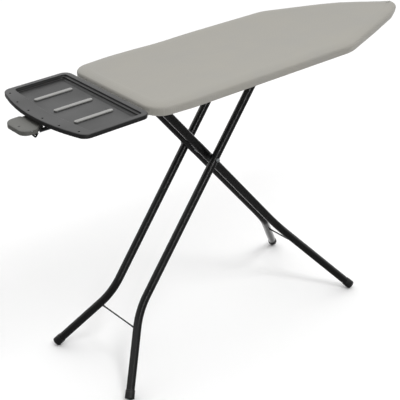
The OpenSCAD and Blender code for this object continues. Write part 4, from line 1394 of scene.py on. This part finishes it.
class IRONING_OT_grip(bpy.types.Operator):
    """Lever grip with rounded edges, a shallow dish below, a lower tongue and a sunk screw"""
    bl_idname = "ironing.grip"
    bl_label = "Grip"

    def execute(self, context):
        low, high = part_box("lever_grip")
        x0, x1 = (low[0] - END_X) / MM, (high[0] - END_X) / MM
        y0, y1 = low[1] / MM, high[1] / MM
        top, base = high[2] / MM, low[2] / MM
        edge = context.scene.ironing_lever.edge / MM
        inner = x0 + 59.5       # the full height ends here, ahead of the tray
        path = matched([(x0, y0, 26), (inner - 5.5, y0, 12), (inner, y1, 9), (x0, y1, 32)], 12, 10)
        out = normals(path)
        rings = []

        def add_ring(depth, z):
            rings.append(inset(path, out, depth, z))

        add_ring(7, base + 1.2)
        add_ring(4.5, base + 0.5)
        for a in range(0, 91, 18):
            angle = math.radians(a)
            add_ring(2.2 * (1 - math.sin(angle)), base + 2.2 * (1 - math.cos(angle)))
        add_ring(0, base + 6)
        for a in range(0, 91, 15):
            angle = math.radians(a)
            add_ring(edge * (1 - math.cos(angle)), top - 0.3 - edge * 0.8 + edge * 0.8 * math.sin(angle))
        add_ring(edge + 3, top - 0.12)
        add_ring(edge + 4, top - 0.05)
        bm = bmesh.new()
        rings_to_mesh(bm, rings, cap_first=True, cap_last=True)
        tongue = matched([(x0 + 35, -38, 3), (x1, -38, 3), (x1, y1, 3), (x0 + 35, y1, 3)], 6, 6)
        sides = normals(tongue)
        rings_to_mesh(bm, [
            inset(tongue, sides, d, base + z) for d, z in ((1, 0.5), (0.2, 1.3), (0.2, 8.4), (1.4, 9.9))],
            cap_first=True, cap_last=True)
        grip = finish_mesh(bm, "grip_body", 50)
        pocket = bmesh.new()
        screw = centre("grip_screw")
        turned(pocket, Vector((screw.x, screw.y, high[2] - 0.0016)), Vector((0, 0, 1)), [
            (0, 0.0033), (0.0014, 0.0035), (0.004, 0.0044)], 24)
        cut_away(grip, pocket, "screw_pocket")
        grip = finish_mesh(melt(grip), "grip_body", 40)
        hand_over(grip, "lever", material_for("grip_plastic"), ["lever_grip"])
        return {"FINISHED"}


class IRONING_OT_wires(bpy.types.Operator):
    """Lever rods and the wire bail of the safety catch"""
    bl_idname = "ironing.wires"
    bl_label = "Rods and wires"

    def execute(self, context):
        bail_low, bail_high = (Vector(p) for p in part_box("catch_bail"))
        r = 0.0021
        y = (bail_low.y + bail_high.y) / 2
        top = bail_high.z - r
        a = Vector((bail_low.x + r, y, top))
        b = Vector((bail_high.x - r, y, top))
        tip = Vector(((a.x + b.x) / 2 + 0.001, y, bail_low.z + r + 0.0002))
        middle = (a + b) / 2
        loop = rounded_line([middle, b, tip, a, middle - Vector((0.0001, 0, 0))], 0.0032, 6)
        bm = bmesh.new()
        sweep(bm, loop, r, 16, squeeze=lambda i: (1, 1) if loop[i].z > top - 0.003 else (1.25, 1.25))
        bail = finish_mesh(bm, "bail_wire", 60)
        hand_over(bail, "catch", material_for("black_steel"), ["catch_bail"])
        for side, word in ((1, "left"), (-1, "right")):
            lo, hi = (Vector(p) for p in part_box(f"lever_rod_{word}"))
            start = Vector((lo.x + 0.0008, side * 0.045, hi.z - 0.0035))
            end = Vector((hi.x, side * 0.045, lo.z + 0.0035))
            bm = bmesh.new()
            sweep(bm, [start, start.lerp(end, 0.002), start.lerp(end, 0.5), end - (end - start) * 0.002, end],
                  0.0035, 24, round_ends=0.0005)
            rod = finish_mesh(bm, f"rod_{word}", 50)
            hand_over(rod, "lever", material_for("black_steel"), [f"lever_rod_{word}"])
        return {"FINISHED"}


def coil_tree():
    """A close-wound wire coil round the Z axis."""
    tree, given = new_tree("Coil", [
        ("Radius", "NodeSocketFloat", 0.008), ("Wire", "NodeSocketFloat", 0.0009),
        ("Turns", "NodeSocketFloat", 3.0), ("Height", "NodeSocketFloat", 0.005),
        ("Material", "NodeSocketMaterial", None)])
    spiral = add(tree, "GeometryNodeCurveSpiral", None, {
        "Resolution": 40, "Rotations": given["Turns"], "Start Radius": given["Radius"],
        "End Radius": given["Radius"], "Height": given["Height"]})
    section = add(tree, "GeometryNodeCurvePrimitiveCircle", None, {"Resolution": 10, "Radius": given["Wire"]})
    solid = add(tree, "GeometryNodeCurveToMesh", None, {
        "Curve": spiral.outputs[0], "Profile Curve": section.outputs[0], "Fill Caps": True})
    return close_tree(tree, solid.outputs[0], given["Material"])


class IRONING_OT_hardware(bpy.types.Operator):
    """Coil spring, screws with driver slots, and rounded cap nuts on the pivot"""
    bl_idname = "ironing.hardware"
    bl_label = "Spring, screws and nuts"

    def execute(self, context):
        zinc = material_for("zinc_steel")
        low, high = (Vector(p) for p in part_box("lever_spring"))
        wire = 0.0009
        radius = (high.z - low.z) / 2 - wire
        coil = generate("coil", coil_tree(), {
            "Radius": radius, "Wire": wire, "Turns": 2.75, "Height": high.y - low.y - 2 * wire,
            "Material": zinc})
        bm = melt(coil)
        turn = Matrix.Rotation(math.radians(90), 4, "X")
        place = Matrix.Translation((HINGE.x, high.y - wire, HINGE.z)) @ turn
        bmesh.ops.transform(bm, matrix=place, verts=bm.verts)
        for z, y in ((low.z + wire, high.y - wire), (high.z - wire, low.y + wire)):
            sweep(bm, [(HINGE.x, y, z), (HINGE.x + 0.011, y, z), (high.x, y, z)], wire, 10)
        spring = finish_mesh(bm, "spring", 60)
        hand_over(spring, "board", zinc, ["lever_spring"])

        # bright pin that holds the safety catch's clip, in the grip's right side
        low, high = (Vector(p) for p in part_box("lever_grip"))
        bm = bmesh.new()
        turned(bm, Vector((low.x + 0.0282, low.y + 0.0008, high.z - 0.0035)), Vector((0, -1, 0)), [
            (0, 0.0018), (0.0012, 0.0019), (0.0016, 0.0016), (0.0019, 0.001), (0.002, 0.0002)], 20)
        pin = finish_mesh(bm, "catch_pin", 50)
        hand_over(pin, "lever", zinc)

        # pan-head screws under the saddles, head down, with a cross recess
        head = bmesh.new()
        turned(head, Vector((0, 0, 0)), Vector((0, 0, -1)), [
            (0, 0.004), (0.0007, 0.0041), (0.0014, 0.0037), (0.002, 0.0029), (0.0023, 0.0018),
            (0.0021, 0.0012), (0.0012, 0.0009), (0.0012, 0.0001)], 18)
        for a in (0, 90):
            turn = Matrix.Rotation(math.radians(a), 3, "Z")
            bar = [turn @ Vector(p) for p in ((-0.002, 0, -0.00215), (0.002, 0, -0.00215))]
            sweep(head, bar, 0.0003, 6)
        head_obj = finish_mesh(head, "screw_head", 40)
        spots = bpy.data.meshes.new("screw_points")
        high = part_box("saddle_screws")[1]
        points = [
            board_point(x, 0, high[2]) + Vector((0, side * (high[1] - 0.004), 0))
            for side in (1, -1) for x in (-172, -60, 55, 130)]
        spots.from_pydata(points, [], [])
        screws = generate("saddle_screw_heads", spread_tree("Screws"), {
            "Item": head_obj, "Material": zinc}, spots)
        bpy.data.objects.remove(head_obj)
        hand_over(screws, "board", zinc, ["saddle_screws"])

        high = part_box("pivot_caps")[1]
        bm = bmesh.new()
        face = 0.0849
        for side in (1, -1):
            span = high[1] - face
            turned(bm, Vector((PIVOT.x, side * face, PIVOT.z)), Vector((0, side, 0)), [
                (0, 0.0062), (0.0003, 0.0068), (0.0024, 0.007), (0.003, 0.0067), (0.0032, 0.0058),
                (span - 0.0026, 0.0058), (span - 0.0012, 0.0052), (span - 0.0004, 0.0038),
                (span - 0.0001, 0.002), (span, 0.0004)], 28)
        caps = finish_mesh(bm, "pivot_cap_nuts", 40)
        hand_over(caps, "rear_legs", zinc, ["pivot_caps"])
        return {"FINISHED"}


class IRONING_OT_carried(bpy.types.Operator):
    """Finishes for the frame's own pieces that stay as they are"""
    bl_idname = "ironing.carried"
    bl_label = "Carried pieces"

    def execute(self, context):
        for part in frame["record"]["subparts"]:
            obj = frame["nodes"][part["node"]]
            finish = material_for(part["material_slot"])
            obj.data.materials.clear()
            obj.data.materials.append(finish)
        return {"FINISHED"}


class IRONING_PT_panel(bpy.types.Panel):
    bl_idname = "IRONING_PT_panel"
    bl_label = "Ironing Board"
    bl_space_type = "VIEW_3D"
    bl_region_type = "UI"
    bl_category = "Ironing Board"

    def draw(self, context):
        for operator in OPERATORS:
            self.layout.operator(operator.bl_idname)


SETTINGS = {
    "ironing_cover": CoverSettings, "ironing_tray": TraySettings, "ironing_legs": LegSettings,
    "ironing_lever": LeverSettings, "ironing_stage": StageSettings}
OPERATORS = (
    IRONING_OT_stage, IRONING_OT_carried, IRONING_OT_cover, IRONING_OT_pad, IRONING_OT_pan, IRONING_OT_tray,
    IRONING_OT_strips, IRONING_OT_legs, IRONING_OT_feet, IRONING_OT_braces, IRONING_OT_grip,
    IRONING_OT_wires, IRONING_OT_hardware)


def register():
    for cls in (*SETTINGS.values(), *OPERATORS, IRONING_PT_panel):
        bpy.utils.register_class(cls)
    for name, cls in SETTINGS.items():
        setattr(bpy.types.Scene, name, bpy.props.PointerProperty(type=cls))


def unregister():
    for name in SETTINGS:
        delattr(bpy.types.Scene, name)
    for cls in reversed((*SETTINGS.values(), *OPERATORS, IRONING_PT_panel)):
        bpy.utils.unregister_class(cls)


def main():
    register()
    for operator in OPERATORS:
        group, name = operator.bl_idname.split(".")
        getattr(getattr(bpy.ops, group), name)()


if __name__ == "__main__":
    main()
